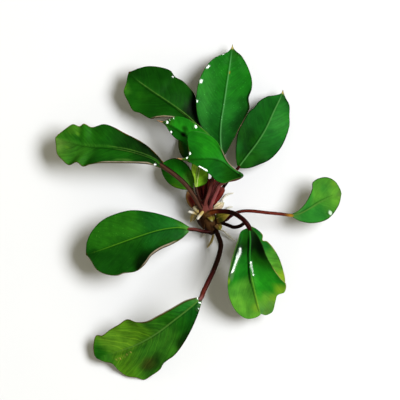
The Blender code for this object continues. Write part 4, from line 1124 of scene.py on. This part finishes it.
# %% [markdown]
# ## Closing a sheet
#
# The grid becomes a shell: each point moves up and down along its normal by half the blade's thickness,
# which goes to nothing at the rim, and a keel hangs below the midrib. What the skin reads is then stored
# with the points.

# %% Closing a sheet
def close_sheet(name, points, spots, look, length, shift):
    """Gives the sheet its thickness and closes it round the rim, and stores what the skin reads."""
    rows, count = len(points), len(points[0])
    places, records, top, bottom = [], [], [], []

    def add(place, spot, under):
        places.append(place * SQUARE)
        records.append((*spot, under))
        return len(places) - 1

    for i in range(rows):
        top.append([])
        bottom.append([])
        for j in range(count):
            here, spot = points[i][j], spots[i][j]
            down_row = points[min(i + 1, rows - 1)][j] - points[max(i - 1, 0)][j]
            along_row = points[i][min(j + 1, count - 1)] - points[i][max(j - 1, 0)]
            up = along_row.cross(down_row)
            up = up.normalized() if up.length > 1e-6 else Vector((0, 0, 1))
            near = min(spot.margin, spot.along, 1.6 * (length - spot.along)) / look["thickness"]
            near = max(0.0, min(1.0, near))
            body = look["thickness"] * math.sqrt(1 - (1 - near) ** 2)
            keel = look["keel"] * math.exp(-(spot.across / 1.4) ** 2) * (1 - spot.share) ** 0.7 * near
            if i == rows - 1 or body < 1e-5:
                index = top[-1][0] if i == rows - 1 and j else add(here, spot, 0.5)
                top[-1].append(index)
                bottom[-1].append(index)
            else:
                top[-1].append(add(here + up * body, spot, 0.0))
                bottom[-1].append(add(here - up * (body + keel), spot, 1.0))
    faces = []
    for i in range(rows - 1):
        for j in range(count - 1):
            for layer, turned in ((top, False), (bottom, True)):
                corners = [layer[i][j], layer[i][j + 1], layer[i + 1][j + 1], layer[i + 1][j]]
                if i == rows - 2:
                    corners = corners[:3]
                faces.append(corners[::-1] if turned else corners)
    mesh = bpy.data.meshes.new(name)
    mesh.from_pydata([tuple(place) for place in places], [], faces)
    wash = [paint(record, place / SQUARE + shift, look) for record, place in zip(records, places)]
    lay = [(along, across, share) for share, along, across, *_ in records]
    for label, kind, values in (("wash", "FLOAT_COLOR", [v for colour in wash for v in (*colour, 1)]),
                                ("lay", "FLOAT_VECTOR", [v for vector in lay for v in vector]),
                                ("margin", "FLOAT", [record[3] for record in records]),
                                ("gloss", "FLOAT", [record[5] for record in records]),
                                ("under", "FLOAT", [record[6] for record in records])):
        data = mesh.attributes.new(label, kind, "POINT").data
        data.foreach_set({"FLOAT_COLOR": "color", "FLOAT_VECTOR": "vector", "FLOAT": "value"}[kind], values)
    mesh.shade_smooth()
    piece = bpy.data.objects.new(name, mesh)
    bpy.context.scene.collection.objects.link(piece)
    return piece


# %% [markdown]
# ## Washing a sheet with colour
#
# The colours of a look are laid over each other like washes of paint: first the two halves, then the soft
# patches, and last the thin lines along midrib and margins. A little noise bends the patches, so that none
# of them is a plain oval.

# %% Washing a sheet with colour
def station_colour(stations, share):
    """The colour at a share of the length, between named stations."""
    for (a, first), (b, second) in zip(stations, stations[1:]):
        if share <= b:
            return Vector(PALETTE[first]).lerp(Vector(PALETTE[second]), soft_step(share, a, b))
    return Vector(PALETTE[stations[-1][1]])


def stroke(colour, name, off, width, strength, share, start, end):
    """A colour with a thin line of another one laid over it."""
    line = 1 - soft_step(abs(off), width * 0.4, width)
    return colour.lerp(Vector(PALETTE[name]), strength * line * window(share, start, end, 0.08))


def paint(record, spot, look):
    """The colour of one point of a sheet."""
    share, along, across, margin, out, gloss, under = record
    if under > 0.75:
        colour = Vector(PALETTE[look["under"]])
    else:
        left, right = (station_colour(look[half], share) for half in ("left", "right"))
        colour = left.lerp(right, soft_step(out, -0.25, 0.25))
        bend = 1 + 0.45 * noise.noise(Vector((spot.x, spot.y, 0)) / 9)
        for name, where, place, half_long, half_wide, strength in look["patches"]:
            far = math.hypot((share - where) / half_long, (out - place) / half_wide) * bend
            colour = colour.lerp(Vector(PALETTE[name]), strength * (1 - soft_step(far, 0.2, 1)))
        for name, start, end, place, width, strength in look["lines"]:
            colour = stroke(colour, name, across - place, width, strength, share, start, end)
    for name, hem_side, start, end, inset, width, strength in look["hems"]:
        if hem_side == side_of(out):
            colour = stroke(colour, name, margin - inset, width, strength, share, start, end)
    return colour


# %% [markdown]
# ## Blades
#
# Each blade is a sheet with its own look. It stands for the frame's plain blade, and rides on the plant.

# %% Blades
LEAF_SHINE = 0.03
GLOSS_IOR = 1.9


def wear(piece, node):
    """Hides the frame's node that a piece stands for, and lets the piece ride on the plant."""
    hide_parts(node)
    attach(piece, "root")


def blade_material(name, look, seed):
    """The leaf skin with a leaf's own colours."""
    values = skin_values(leaf_skin, {**look, "seed": seed})
    return new_material(name, leaf_skin, values, FINE_RELIEF, {
        "Specular IOR Level": LEAF_SHINE, "Coat IOR": GLOSS_IOR, "Coat Roughness": look["gloss_roughness"]})


for number, (name, lines) in enumerate(LEAVES.items()):
    look = {**LEAF_HABITS, **LEAF_LOOKS[name]}
    piece = sheet("blade_" + name, lines, look)
    skin = blade_material("skin of " + name.replace("_", " ") + " leaf", look, number * 3.7)
    piece.data.materials.append(skin)
    wear(piece, "leaf_" + name)
print("blades:", len(LEAVES))

# %% [markdown]
# ## Stem skin
#
# Stalks, rhizome and roots are all stems: a colour that changes along the length, fine stripes that run
# lengthwise, a pale band on top that is a painted highlight, a dark edge on one side that is painted
# shade, and a little relief.

# %% Stem skin
def make_stem_skin():
    """The shader group for the stems' colour, roughness and relief."""
    group, have, give = new_group("stem skin", [
        ("Wash", "Color"), ("Stripe", "Color"), ("Stripe Strength", "Float"),
        ("Band", "Color"), ("Band Place", "Float"), ("Band Width", "Float"), ("Band Strength", "Float"),
        ("Edge", "Color"), ("Edge Side", "Float"), ("Edge Strength", "Float"),
        ("Roughness", "Float"), ("Rough Bark", "Float"), ("Seed", "Float"),
    ], [("Colour", "Color"), ("Roughness", "Float"), ("Height", "Float")])
    round_x, round_y, along = split(group, stored(group, "lay", "Vector"))

    def lengthwise(squeeze, size, detail):
        """Noise drawn out along the stem."""
        return cloud(group, join(group, round_x, round_y, along * squeeze), size, detail, have["Seed"])

    stripes = lengthwise(0.03, 0.3, 2)
    colour = tinted(group, have["Wash"], lengthwise(0.25, 1.3, 3) * 0.8 + 0.6)
    colour = blend(group, rise(group, stripes, 0.46, 0.62) * have["Stripe Strength"], colour, have["Stripe"])
    # The band is a painted highlight. It drifts a little from side to side, and lies on top only
    drift = (cloud(group, join(group, along * 0.1, 0, 0), 1.0, 2, have["Seed"]) - 0.5) * 0.5
    off_band = abs(round_x + drift - have["Band Place"])
    band = 1 - rise(group, off_band, have["Band Width"] * 0.4, have["Band Width"])
    band = band * rise(group, round_y, -0.1, 0.3)
    colour = blend(group, band * have["Band Strength"], colour, have["Band"])
    # The edge is painted shade down one side of the stem
    edge = rise(group, round_x * have["Edge Side"], 0.3, 0.75)
    feed(group, give["Colour"], blend(group, edge * have["Edge Strength"], colour, have["Edge"]))
    grain = lengthwise(0.5, 0.35, 4)
    feed(group, give["Roughness"], have["Roughness"] + grain * 0.2)
    feed(group, give["Height"], stripes * 0.7 + grain * have["Rough Bark"])
    return group


stem_skin = make_stem_skin()
print("stem skin has", len(stem_skin.nodes), "nodes")

# %% [markdown]
# ## Growing a stem
#
# A stem follows a path, which is what Geometry Nodes do well. The tree sweeps a circle along the path,
# as wide as the path says at each point, ripples its surface, dents its top and rings it with scars. Before
# the sweep it notes how far along and which way round each point lies, for the skin to read. On roots it
# also scatters points over the surface and stands a fine hair on each.

# %% Growing a stem
SWAY_SIZE = 6
HAIR_RADII = (0.02, 0.1)
HAIR_SIZES = (0.4, 1.0)
LEAST_ROUND = 0.004


def make_stem_tree():
    """The Geometry Nodes tree that turns a path into a stem."""
    tree = bpy.data.node_groups.new("stem along a path", "GeometryNodeTree")
    tree.is_modifier = True
    sockets = tree.interface
    sockets.new_socket("Geometry", in_out="INPUT", socket_type="NodeSocketGeometry")
    for label, kind, value in (
            ("Sides", "Int", 16), ("Ripple Depth", "Float", 0.0), ("Ripple Size", "Float", 3.0),
            ("Ring Depth", "Float", 0.0), ("Ring Spacing", "Float", 8.0), ("Channel", "Float", 0.0),
            ("Hair Density", "Float", 0.0), ("Hair Length", "Float", 2.0), ("Seed", "Float", 0.0)):
        sockets.new_socket(label, in_out="INPUT", socket_type="NodeSocket" + kind).default_value = value
    sockets.new_socket("Material", in_out="INPUT", socket_type="NodeSocketMaterial")
    sockets.new_socket("Geometry", in_out="OUTPUT", socket_type="NodeSocketGeometry")
    have = inside(tree)

    def node(kind, inputs=None, **settings):
        """A new node with its settings made and its inputs fed. What comes back is its outputs."""
        made = tree.nodes.new(kind)
        for name, value in settings.items():
            setattr(made, name, value)
        for label, value in (inputs or {}).items():
            feed(tree, made.inputs[label], value)
        return made.outputs

    def note(geometry, kind, values):
        """Notes values at the points of a geometry, for use after the sweep."""
        made = tree.nodes.new("GeometryNodeCaptureAttribute")
        for label in values:
            made.capture_items.new(kind, label)
        feed(tree, made.inputs["Geometry"], geometry)
        for label, value in values.items():
            feed(tree, made.inputs[label], value)
        return made.outputs

    # The path and the circle, with their notes, and the sweep
    way = node("GeometryNodeSplineParameter")
    upright = node("GeometryNodeSetCurveNormal", {"Curve": have["Geometry"]}, mode="Z_UP")
    path = note(upright["Curve"], "FLOAT", {"length": way["Length"], "share": way["Factor"]})
    circle = node("GeometryNodeCurvePrimitiveCircle", {"Resolution": have["Sides"], "Radius": 1})
    profile = note(circle["Curve"], "VECTOR", {"round": node("GeometryNodeInputPosition")[0]})
    body = node("GeometryNodeCurveToMesh", {
        "Curve": path["Geometry"], "Profile Curve": profile["Geometry"],
        "Scale": node("GeometryNodeInputRadius")[0], "Fill Caps": True})["Mesh"]

    # Ripples and rings stand out, and the channel on top goes in
    round_x, round_y, _ = split(tree, profile["round"])
    squares = Wire(tree, path["length"]) / SQUARE
    spot = node("GeometryNodeInputPosition")[0]
    ripple = (cloud(tree, spot, have["Ripple Size"] * SQUARE, 2, have["Seed"]) - 0.5) * have["Ripple Depth"]
    beat = squares / have["Ring Spacing"] + cloud(tree, spot, SWAY_SIZE * SQUARE, 1, have["Seed"])
    ring = abs(reckon(tree, "SINE", beat * math.pi)) ** 6 * have["Ring Depth"]
    dent = rise(tree, round_y, 0.2, 1.0) ** 2 * have["Channel"]
    rise_by = (ripple + ring - dent) * SQUARE
    normal = node("GeometryNodeInputNormal")[0]
    push = node("ShaderNodeVectorMath", {"Vector": normal, "Scale": rise_by}, operation="SCALE")
    body = node("GeometryNodeSetPosition", {"Geometry": body, "Offset": push[0]})["Geometry"]
    for label, kind, value in (("lay", "FLOAT_VECTOR", join(tree, round_x, round_y, squares)),
                               ("share", "FLOAT", path["share"])):
        body = node("GeometryNodeStoreNamedAttribute", {"Name": label, "Geometry": body, "Value": value},
                    data_type=kind)["Geometry"]

    # The hairs: thin cones of mixed lengths that stand on the surface
    dots = node("GeometryNodeDistributePointsOnFaces", {"Mesh": body, "Density": have["Hair Density"]})
    hair = node("GeometryNodeMeshCone", {
        "Vertices": 4, "Radius Top": HAIR_RADII[0] * SQUARE, "Radius Bottom": HAIR_RADII[1] * SQUARE,
        "Depth": have["Hair Length"] * SQUARE})
    size = tree.nodes.new("FunctionNodeRandomValue")
    size.data_type = "FLOAT"
    limits = {socket.identifier: socket for socket in size.inputs}
    limits["Min_001"].default_value, limits["Max_001"].default_value = HAIR_SIZES
    hairs = node("GeometryNodeInstanceOnPoints", {
        "Points": dots["Points"], "Instance": hair["Mesh"], "Rotation": dots["Rotation"],
        "Scale": next(socket for socket in size.outputs if socket.identifier == "Value_001")})
    both = tree.nodes.new("GeometryNodeJoinGeometry")
    feed(tree, both.inputs["Geometry"], body)
    feed(tree, both.inputs["Geometry"], hairs["Instances"])
    real = node("GeometryNodeRealizeInstances", {"Geometry": both.outputs["Geometry"]})
    dress = node("GeometryNodeSetMaterial", {"Geometry": real["Geometry"], "Material": have["Material"]})
    feed(tree, tree.nodes.new("NodeGroupOutput").inputs["Geometry"], dress["Geometry"])
    return tree


stem_tree = make_stem_tree()
print("stem tree has", len(stem_tree.nodes), "nodes")

# %% [markdown]
# ## Running the stem tree
#
# A stem's path is a curve with a width at each of its points. The tree goes on it as a modifier, and its
# inputs are set by their sockets. The result is then taken off as a plain mesh, because the export wants
# meshes without live modifiers.

# %% Running the stem tree
def set_inputs(modifier, values):
    """Sets a Geometry Nodes modifier's inputs by the names that its tree shows."""
    for item in modifier.node_group.interface.items_tree:
        if item.item_type == "SOCKET" and item.in_out == "INPUT" and item.name in values:
            modifier[item.identifier] = values[item.name]


def as_mesh(source, name):
    """The evaluated object as a plain mesh object at the origin. The source is removed."""
    bpy.context.view_layer.update()
    depsgraph = bpy.context.evaluated_depsgraph_get()
    mesh = bpy.data.meshes.new_from_object(source.evaluated_get(depsgraph), depsgraph=depsgraph)
    mesh.name = name
    bpy.data.objects.remove(source)
    body = bmesh.new()
    body.from_mesh(mesh)
    bmesh.ops.remove_doubles(body, verts=body.verts, dist=SQUARE / 1000)
    bmesh.ops.recalc_face_normals(body, faces=body.faces)
    body.to_mesh(mesh)
    body.free()
    mesh.shade_smooth()
    piece = bpy.data.objects.new(name, mesh)
    bpy.context.scene.collection.objects.link(piece)
    return piece


def stem(name, stations, steps, material, values):
    """A stem that runs through its stations, each (x, y, height, radius), with round ends."""
    path = smooth_path(stations)
    curve = bpy.data.curves.new(name, "CURVE")
    curve.dimensions = "3D"
    spline = curve.splines.new("POLY")
    spline.points.add(steps)
    length = sum((path((i + 1) / steps) - path(i / steps)).xyz.length for i in range(steps))
    for i, point in enumerate(spline.points):
        share = i / steps
        station = path(share)
        left = min(share, 1 - share) * length / station.w
        close = 1 - (1 - min(1, left)) ** 2
        point.co = (*(station.xyz * SQUARE), 1)
        point.radius = station.w * SQUARE * math.sqrt(max(close, LEAST_ROUND))
    source = bpy.data.objects.new(name + "_path", curve)
    bpy.context.scene.collection.objects.link(source)
    grow = source.modifiers.new("grow", "NODES")
    grow.node_group = stem_tree
    set_inputs(grow, {"Material": material, **values})
    return as_mesh(source, name)


# %% [markdown]
# ## Stalks
#
# The stalks are dark where they leave the rhizome and turn reddish or brown towards the blade. Each is a
# little thicker at its foot, and runs on into the keel of its blade.

# %% Stalks
STALK_RADIUS = 1.65
STOUT = {"lower_right_front": 1.45, "bottom_left": 1.5, "far_left": 1.5, "centre_front": 1.25, "top": 1.2,
         "left": 1.15, "lower_right_back": 1.1, "young": 0.8, "low_back": 0.8, "small_left": 0.8}
FOOT, JOINT, NECK = 1.2, 0.95, 0.75
JOINT_DROP = 0.5
NECK_REACH, NECK_DROP = 4, 1.1
STALK_RELIEF = {"Sides": 20, "Channel": 0.3, "Ripple Depth": 0.35, "Ripple Size": 5.0}
STEM_SHINE = 0.03
STALK_STEPS = 60
# In the stalk looks, band is a painted highlight along the top and edge painted shade down one side
STALK_LOOKS = {
    "far_left": {"wash": [(0, "purple brown"), (1, "purple brown")], "band": "ash", "band_place": -0.3,
                 "band_strength": 0.7, "band_width": 0.22, "stripe_strength": 0.6, "edge_side": 1,
                 "edge_strength": 0.9},
    "upper_left": {"wash": [(0, "maroon"), (1, "red brown")]},
    "top": {"wash": [(0, "mauve"), (0.3, "mauve"), (1, "purple brown")], "band": "blush",
            "band_strength": 0.5, "stripe_strength": 0.35},
    "upper_right": {"wash": [(0, "black maroon"), (0.7, "black maroon"), (1, "maroon")]},
    "centre_back": {"wash": [(0, "blush"), (0.3, "rose"), (0.6, "rose"), (1, "mauve")], "band": "petal",
                    "band_strength": 1, "band_width": 0.6, "band_place": 0.1, "stripe": "mauve",
                    "stripe_strength": 0.4, "edge": "maroon", "edge_strength": 0.4},
    "centre_front": {"wash": [(0, "rose"), (0.25, "rose"), (0.85, "purple brown"), (0.93, "deep"),
                              (1, "deep")],
                     "band": "blush", "band_strength": 0.7, "stripe": "maroon", "stripe_strength": 0.4},
    "small_left": {"wash": [(0, "brown"), (1, "olive")]},
    "low_back": {"wash": [(0, "wine"), (1, "maroon")]},
    "young": {"wash": [(0, "maroon"), (0.5, "dark purple"), (1, "purple brown")], "band": "purple brown"},
    "left": {"wash": [(0, "black maroon"), (0.3, "maroon"), (0.9, "mauve"), (1, "bud")], "band": "petal",
             "stripe_strength": 0.7, "band_strength": 0.9, "band_width": 0.3, "band_place": 0.3,
             "edge_strength": 1},
    "bottom_left": {"wash": [(0, "black maroon"), (0.55, "black maroon"), (0.75, "maroon"),
                             (0.9, "red brown"), (1, "blush")], "band": "red brown", "band_strength": 0.35,
                             "band_width": 0.25},
    "lower_right_front": {"wash": [(0, "straw"), (0.1, "tan"), (0.19, "rust"), (0.34, "maroon"),
                                   (0.55, "black maroon"), (1, "maroon")], "band": "red brown",
                                   "band_strength": 0.35, "band_width": 0.2},
    "lower_right_back": {"wash": [(0, "dark brown"), (0.3, "black maroon"), (1, "black maroon")],
                         "band": "red brown", "band_strength": 0.3},
    "small_right": {"wash": [(0, "black maroon"), (0.22, "maroon"), (0.5, "red brown"), (0.85, "red brown"),
                             (0.93, "amber"), (1, "frost")], "band": "rust", "band_strength": 0.4},
}

# The habits' brown band is a faint painted highlight, and the black maroon edge painted shade
STEM_HABITS = {
    "stripe": "black maroon", "stripe_strength": 0.5,
    "band": "brown", "band_place": 0.1, "band_width": 0.35, "band_strength": 0.2,
    "edge": "black maroon", "edge_side": -1, "edge_strength": 0.6, "roughness": 0.25, "rough_bark": 0.2,
}


def ramp(tree, stations):
    """A colour ramp along the stem, through named colours."""
    node = tree.nodes.new("ShaderNodeValToRGB")
    elements = node.color_ramp.elements
    while len(elements) < len(stations):
        elements.new(0.5)
    for element, (share, colour) in zip(elements, stations):
        element.position = share
        element.color = (*PALETTE[colour], 1)
    feed(tree, node.inputs["Fac"], stored(tree, "share"))
    return node.outputs["Color"]


def stem_material(name, look, seed, relief_depth=FINE_RELIEF):
    """The stem skin with a stem's own colours."""
    values = skin_values(stem_skin, {**STEM_HABITS, **look, "seed": seed})
    values["Wash"] = lambda tree: ramp(tree, look["wash"])
    return new_material(name, stem_skin, values, relief_depth, {"Specular IOR Level": STEM_SHINE})


for number, (name, lines) in enumerate(LEAVES.items()):
    radius = STALK_RADIUS * STOUT.get(name, 1)
    base = Vector(lines["middle"][0])
    inward = (Vector(lines["middle"][1]) - base).normalized()
    stations = [(*point, radius) for point in lines["stalk"]]
    stations[0] = (*lines["stalk"][0], radius * FOOT)
    stations.append((*(base - Vector((0, 0, JOINT_DROP))), radius * JOINT))
    stations.append((*(base + inward * NECK_REACH - Vector((0, 0, NECK_DROP))), radius * NECK))
    material = stem_material("stalk of " + name.replace("_", " ") + " leaf", STALK_LOOKS[name], number * 5.3)
    piece = stem("petiole_" + name, stations, STALK_STEPS, material, {**STALK_RELIEF, "Seed": number * 2.1})
    wear(piece, "stalk_" + name)
print("stalks:", len(LEAVES))

# %% [markdown]
# ## Rhizome
#
# The rhizome creeps along the ground and leaves a scar round it wherever a leaf has grown. It is the same
# kind of stem, with deeper ripples and rings, pressed flat where it rests.

# %% Rhizome
# The rhizome runs from its cut end to its growing tip: (x, y, height, radius), in squares
RHIZOME = [
    (3.5, -10, 7, 3), (3, -8.6, 7, 5.2), (2, -4, 7.2, 7.2), (0, 1, 7.6, 8.2), (-3, 8, 8.8, 8.8),
    (-5, 14, 11.5, 9.6), (-5.5, 18, 13, 8.6), (-6, 22, 14, 6), (-6.3, 24.5, 14.5, 2.5),
]
# The olive band is a painted highlight along the top, and the dark brown edge painted shade on one side
RHIZOME_LOOK = {"wash": [(0, "dark brown"), (0.5, "brown"), (0.7, "bark"), (0.8, "mauve"), (1, "mauve")],
                "stripe": "dark brown", "stripe_strength": 0.9, "band": "olive", "band_strength": 0.4,
                "band_width": 0.5, "edge": "dark brown", "edge_strength": 0.6, "roughness": 0.4,
                "rough_bark": 0.9}
RHIZOME_STEPS = 90
RHIZOME_RELIEF = {"Sides": 48, "Ripple Depth": 1.6, "Ripple Size": 4.0, "Ring Depth": 0.5,
                  "Ring Spacing": 5.5, "Seed": 2.0}
rhizome_bark = stem_material("rhizome bark", RHIZOME_LOOK, 4.0, 2 * FINE_RELIEF)
rhizome_piece = stem("rootstock", RHIZOME, RHIZOME_STEPS, rhizome_bark, RHIZOME_RELIEF)
for vertex in rhizome_piece.data.vertices:
    vertex.co.z = max(vertex.co.z, 0.0)
wear(rhizome_piece, "rhizome")
print("rhizome has", len(rhizome_piece.data.vertices), "points")

# %% [markdown]
# ## Bud scales
#
# Papery scales wrap the growing tip and the joints of the rhizome: reddish ones round the crown and olive
# ones with pointed tips. They are small leaves without stalks, so the same sheet makes them.

# %% Bud scales
# The bud scales that wrap the rhizome, drawn as the leaves are
SCALES = {
    "red_left": {
        "middle": [(-15, 18.5, 13), (-18, 25, 16), (-21, 34, 16)],
        "left": [(-16.5, 14.5, 9.5), (-22, 20, 11), (-24.3, 27, 13), (-23.5, 32, 15)],
        "right": [(-12.6, 21, 15.5), (-13.8, 26, 17.5), (-16.5, 32, 17.5)],
    },
    "red_right": {
        "middle": [(3.2, 20.5, 16.8), (8.2, 28, 17.4), (14.6, 36, 18)],
        "left": [(2.4, 22.6, 17.4), (5.6, 30, 18), (11.2, 37.5, 18.4)],
        "right": [(4.6, 18.8, 16.4), (10.8, 26, 16.8), (14.8, 33, 17.6)],
    },
    "red_back": {
        "middle": [(-4.5, 24.5, 5.6), (-2.5, 35, 6), (2.5, 46, 7)],
        "left": [(-10, 24, 5.4), (-13.5, 34, 5.6), (-9, 43, 6.4)],
        "right": [(3, 21, 5.6), (9.5, 31, 6), (10, 41, 6.6)],
    },
    "straw": {
        "middle": [(3.2, 15, 16.2), (8.7, 17.6, 15), (14.5, 21.8, 13)],
        "left": [(3.6, 18.2, 15.6), (8, 22, 14.4)],
        "right": [(5.4, 12.3, 15.4), (12.4, 16, 13.6)],
    },
    "green_top": {
        "middle": [(0.8, 8.8, 20.4), (1.9, 5.3, 19.6), (2.5, 2.2, 18.3)],
        "left": [(4.4, 9.6, 19.8), (4.6, 5.8, 18.6)],
        "right": [(-2.8, 7.2, 20.4), (-0.4, 4.2, 19.3)],
    },
    "green_right": {
        "middle": [(6.3, 5.5, 16), (12, 7.6, 18.5), (20, 9.8, 20.5)],
        "left": [(5.8, 10.6, 16.8), (12, 11.8, 19)],
        "right": [(7, 0.4, 15), (14, 3.6, 18)],
    },
    "green_lower": {
        "middle": [(6.8, 0, 15.4), (9, -3, 14), (10.3, -6.3, 12.8)],
        "left": [(11, 1, 13.8), (12.2, -2.5, 12.8)],
        "right": [(4, -2, 17.2), (7, -5, 16)],
    },
    "brown_left": {
        "middle": [(-10.6, 6, 16.4), (-8.7, 0, 15.7), (-6, -5.5, 15)],
        "left": [(-7.2, 7, 19.5), (-5.2, 0.5, 17.9)],
        "right": [(-13.8, 5, 12), (-11.4, 0, 11.2)],
    },
}
SCALE_LOOKS = {
    "red_left": {"left": [(0, "red brown"), (0.5, "red brown"), (1, "tan")],
                 "right": [(0, "red brown"), (0.5, "wine"), (1, "red brown")], "rim": "tan",
                 "patches": [("wine", 0.45, -0.1, 0.5, 0.5, 0.7), ("tan", 0.55, -1, 0.8, 0.45, 1)]},
    "red_right": {"left": [(0, "mauve"), (0.5, "wine"), (1, "mauve")],
                  "right": [(0, "wine"), (1, "red brown")], "rim": "red brown"},
    "red_back": {"left": [(0, "red brown"), (1, "maroon")], "right": [(0, "red brown"), (1, "red brown")],
                 "rim": "wine"},
    "straw": {"left": [(0, "ash"), (0.5, "cream"), (1, "cream")],
              "right": [(0, "tan"), (0.5, "ash"), (1, "cream")], "rim": "ivory", "rib": "ash"},
    "green_top": {"left": [(0, "brown"), (0.4, "bud"), (1, "bud")],
                  "right": [(0, "brown"), (0.4, "bud"), (1, "cream")], "rim": "tip"},
    "green_right": {"left": [(0, "olive"), (0.4, "bud"), (0.8, "bud"), (1, "tip")],
                    "right": [(0, "bark"), (0.3, "olive"), (0.6, "bud"), (1, "tip")], "rim": "tip"},
    "green_lower": {"left": [(0, "bark"), (0.6, "bud"), (1, "bud")], "right": [(0, "brown"), (1, "olive")],
                    "rim": "bud"},
    "brown_left": {"left": [(0, "dark brown"), (1, "dark brown")],
                   "right": [(0, "dark brown"), (1, "dark brown")], "rim": "brown"},
}
SCALE_ROWS = 40
SCALE_HABITS = {**LEAF_HABITS, "thickness": 0.3, "rib_height": 0.1, "keel": 0.2, "rib": "tan",
                "rib_width": 0.5, "under": "brown", "vein_spacing": 2.5, "rim_width": 0.9,
                "rim_strength": 0.5, "roughness": 0.4, "specks": 0}
for number, (name, lines) in enumerate(SCALES.items()):
    look = {**SCALE_HABITS, **SCALE_LOOKS[name]}
    piece = sheet("bud_" + name, lines, look, SCALE_ROWS)
    skin = blade_material("skin of " + name.replace("_", " ") + " scale", look, number * 7.1)
    piece.data.materials.append(skin)
    wear(piece, "scale_" + name)
print("scales:", len(SCALES))

# %% [markdown]
# ## Roots
#
# The roots were trimmed, so they are short: fat white stubs and thin tan ones that taper.

# %% Roots
# The roots, from inside the rhizome to their tips
ROOTS = {
    "stub_left": [(-6, 7, 11), (-14, 10.6, 15.5), (-22, 12.6, 15)],
    "stub_cream": [(-7, 9.5, 13), (-11.5, 12.5, 17), (-16.3, 17.8, 17.8)],
    "stub_white": [(-5.5, 11, 14), (-7.3, 12, 20), (-10.6, 8.2, 20.6), (-13, 4.8, 19.4)],
    "left": [(-5, 7, 9), (-13.5, 12, 11.5), (-17.3, 8, 8.5), (-19.5, 2, 4)],
    "far_left": [(-5, 9, 4), (-12, 8, 3.2), (-17, 3, 1.8)],
    "upper_left": [(-5, 14, 5), (-12, 20, 4.6), (-19, 26, 3), (-23, 35, 1.3)],
    "bottom": [(2, -6, 6), (3, -12, 6), (1, -18, 4.4), (-3, -24, 2)],
    "bottom_right": [(4.5, -5.5, 5), (8, -12.5, 4), (9.5, -17, 2.5), (10, -22, 1.3)],
    "lower_left": [(-1, -3, 4), (-4.5, -9, 3.4), (-8.5, -13.5, 1.8)],
    "lower_right": [(5, -4, 6), (12.5, -6.5, 5), (18, -11, 3), (25, -17, 1.4)],
    "curl_right": [(-1, 10, 5), (8, 14, 4), (12.4, 19.5, 3.4), (13, 25, 2.6), (17, 29.5, 2),
                   (24, 31.4, 1.3)],
    "right": [(1, 5, 4.5), (9, 7.5, 4.4), (15, 12, 3.2), (18, 16.4, 2.2), (23, 17.4, 1.3)],
    "upper_right": [(-3, 14, 5), (1.5, 20, 3), (4, 26, 2), (6, 31, 1.3)],
}
ROOT_RADIUS = 1.25
ROOT_LOOKS = {"stub_left": (1.15, "white"), "stub_cream": (1.75, "cream"), "stub_white": (1.2, "white"),
              "left": (1.5, "straw"), "far_left": (1.0, "straw"), "bottom": (0.95, "straw"),
              "upper_right": (1.1, "cream")}
THIN_ROOT = (0.65, "ivory")
ROOT_TIP = 0.3
ROOT_STEPS = 50
ROOT_RELIEF = {"Sides": 14, "Ripple Depth": 0.9, "Ripple Size": 2.5}
HAIRS_PER_SQUARE_METRE = 4e6
# The ivory band is a painted highlight along the top of a root, and the cream edge a light painted shade
ROOT_HABITS = {"stripe": "straw", "stripe_strength": 0.2, "band": "ivory", "edge": "cream",
               "edge_strength": 0.3, "roughness": 0.4, "rough_bark": 0.4}
for number, (name, points) in enumerate(ROOTS.items()):
    thick, colour = ROOT_LOOKS.get(name, THIN_ROOT)
    stations = [(*point, ROOT_RADIUS * thick) for point in points]
    if name.startswith("stub"):
        wash = [(0, "straw"), (0.6, "straw"), (0.8, colour), (1, colour)]
        hairs = 0.0
    else:
        wash = [(0, "straw"), (0.3, colour), (0.8, colour), (1, colour)]
        hairs = HAIRS_PER_SQUARE_METRE
        stations[-1] = (*points[-1], ROOT_RADIUS * ROOT_TIP)
    material = stem_material("root " + name.replace("_", " "), {**ROOT_HABITS, "wash": wash}, number * 3.3)
    relief_values = {**ROOT_RELIEF, "Hair Density": hairs, "Seed": number * 1.7}
    piece = stem("rootlet_" + name, stations, ROOT_STEPS, material, relief_values)
    wear(piece, "root_" + name)
print("roots:", len(ROOTS))
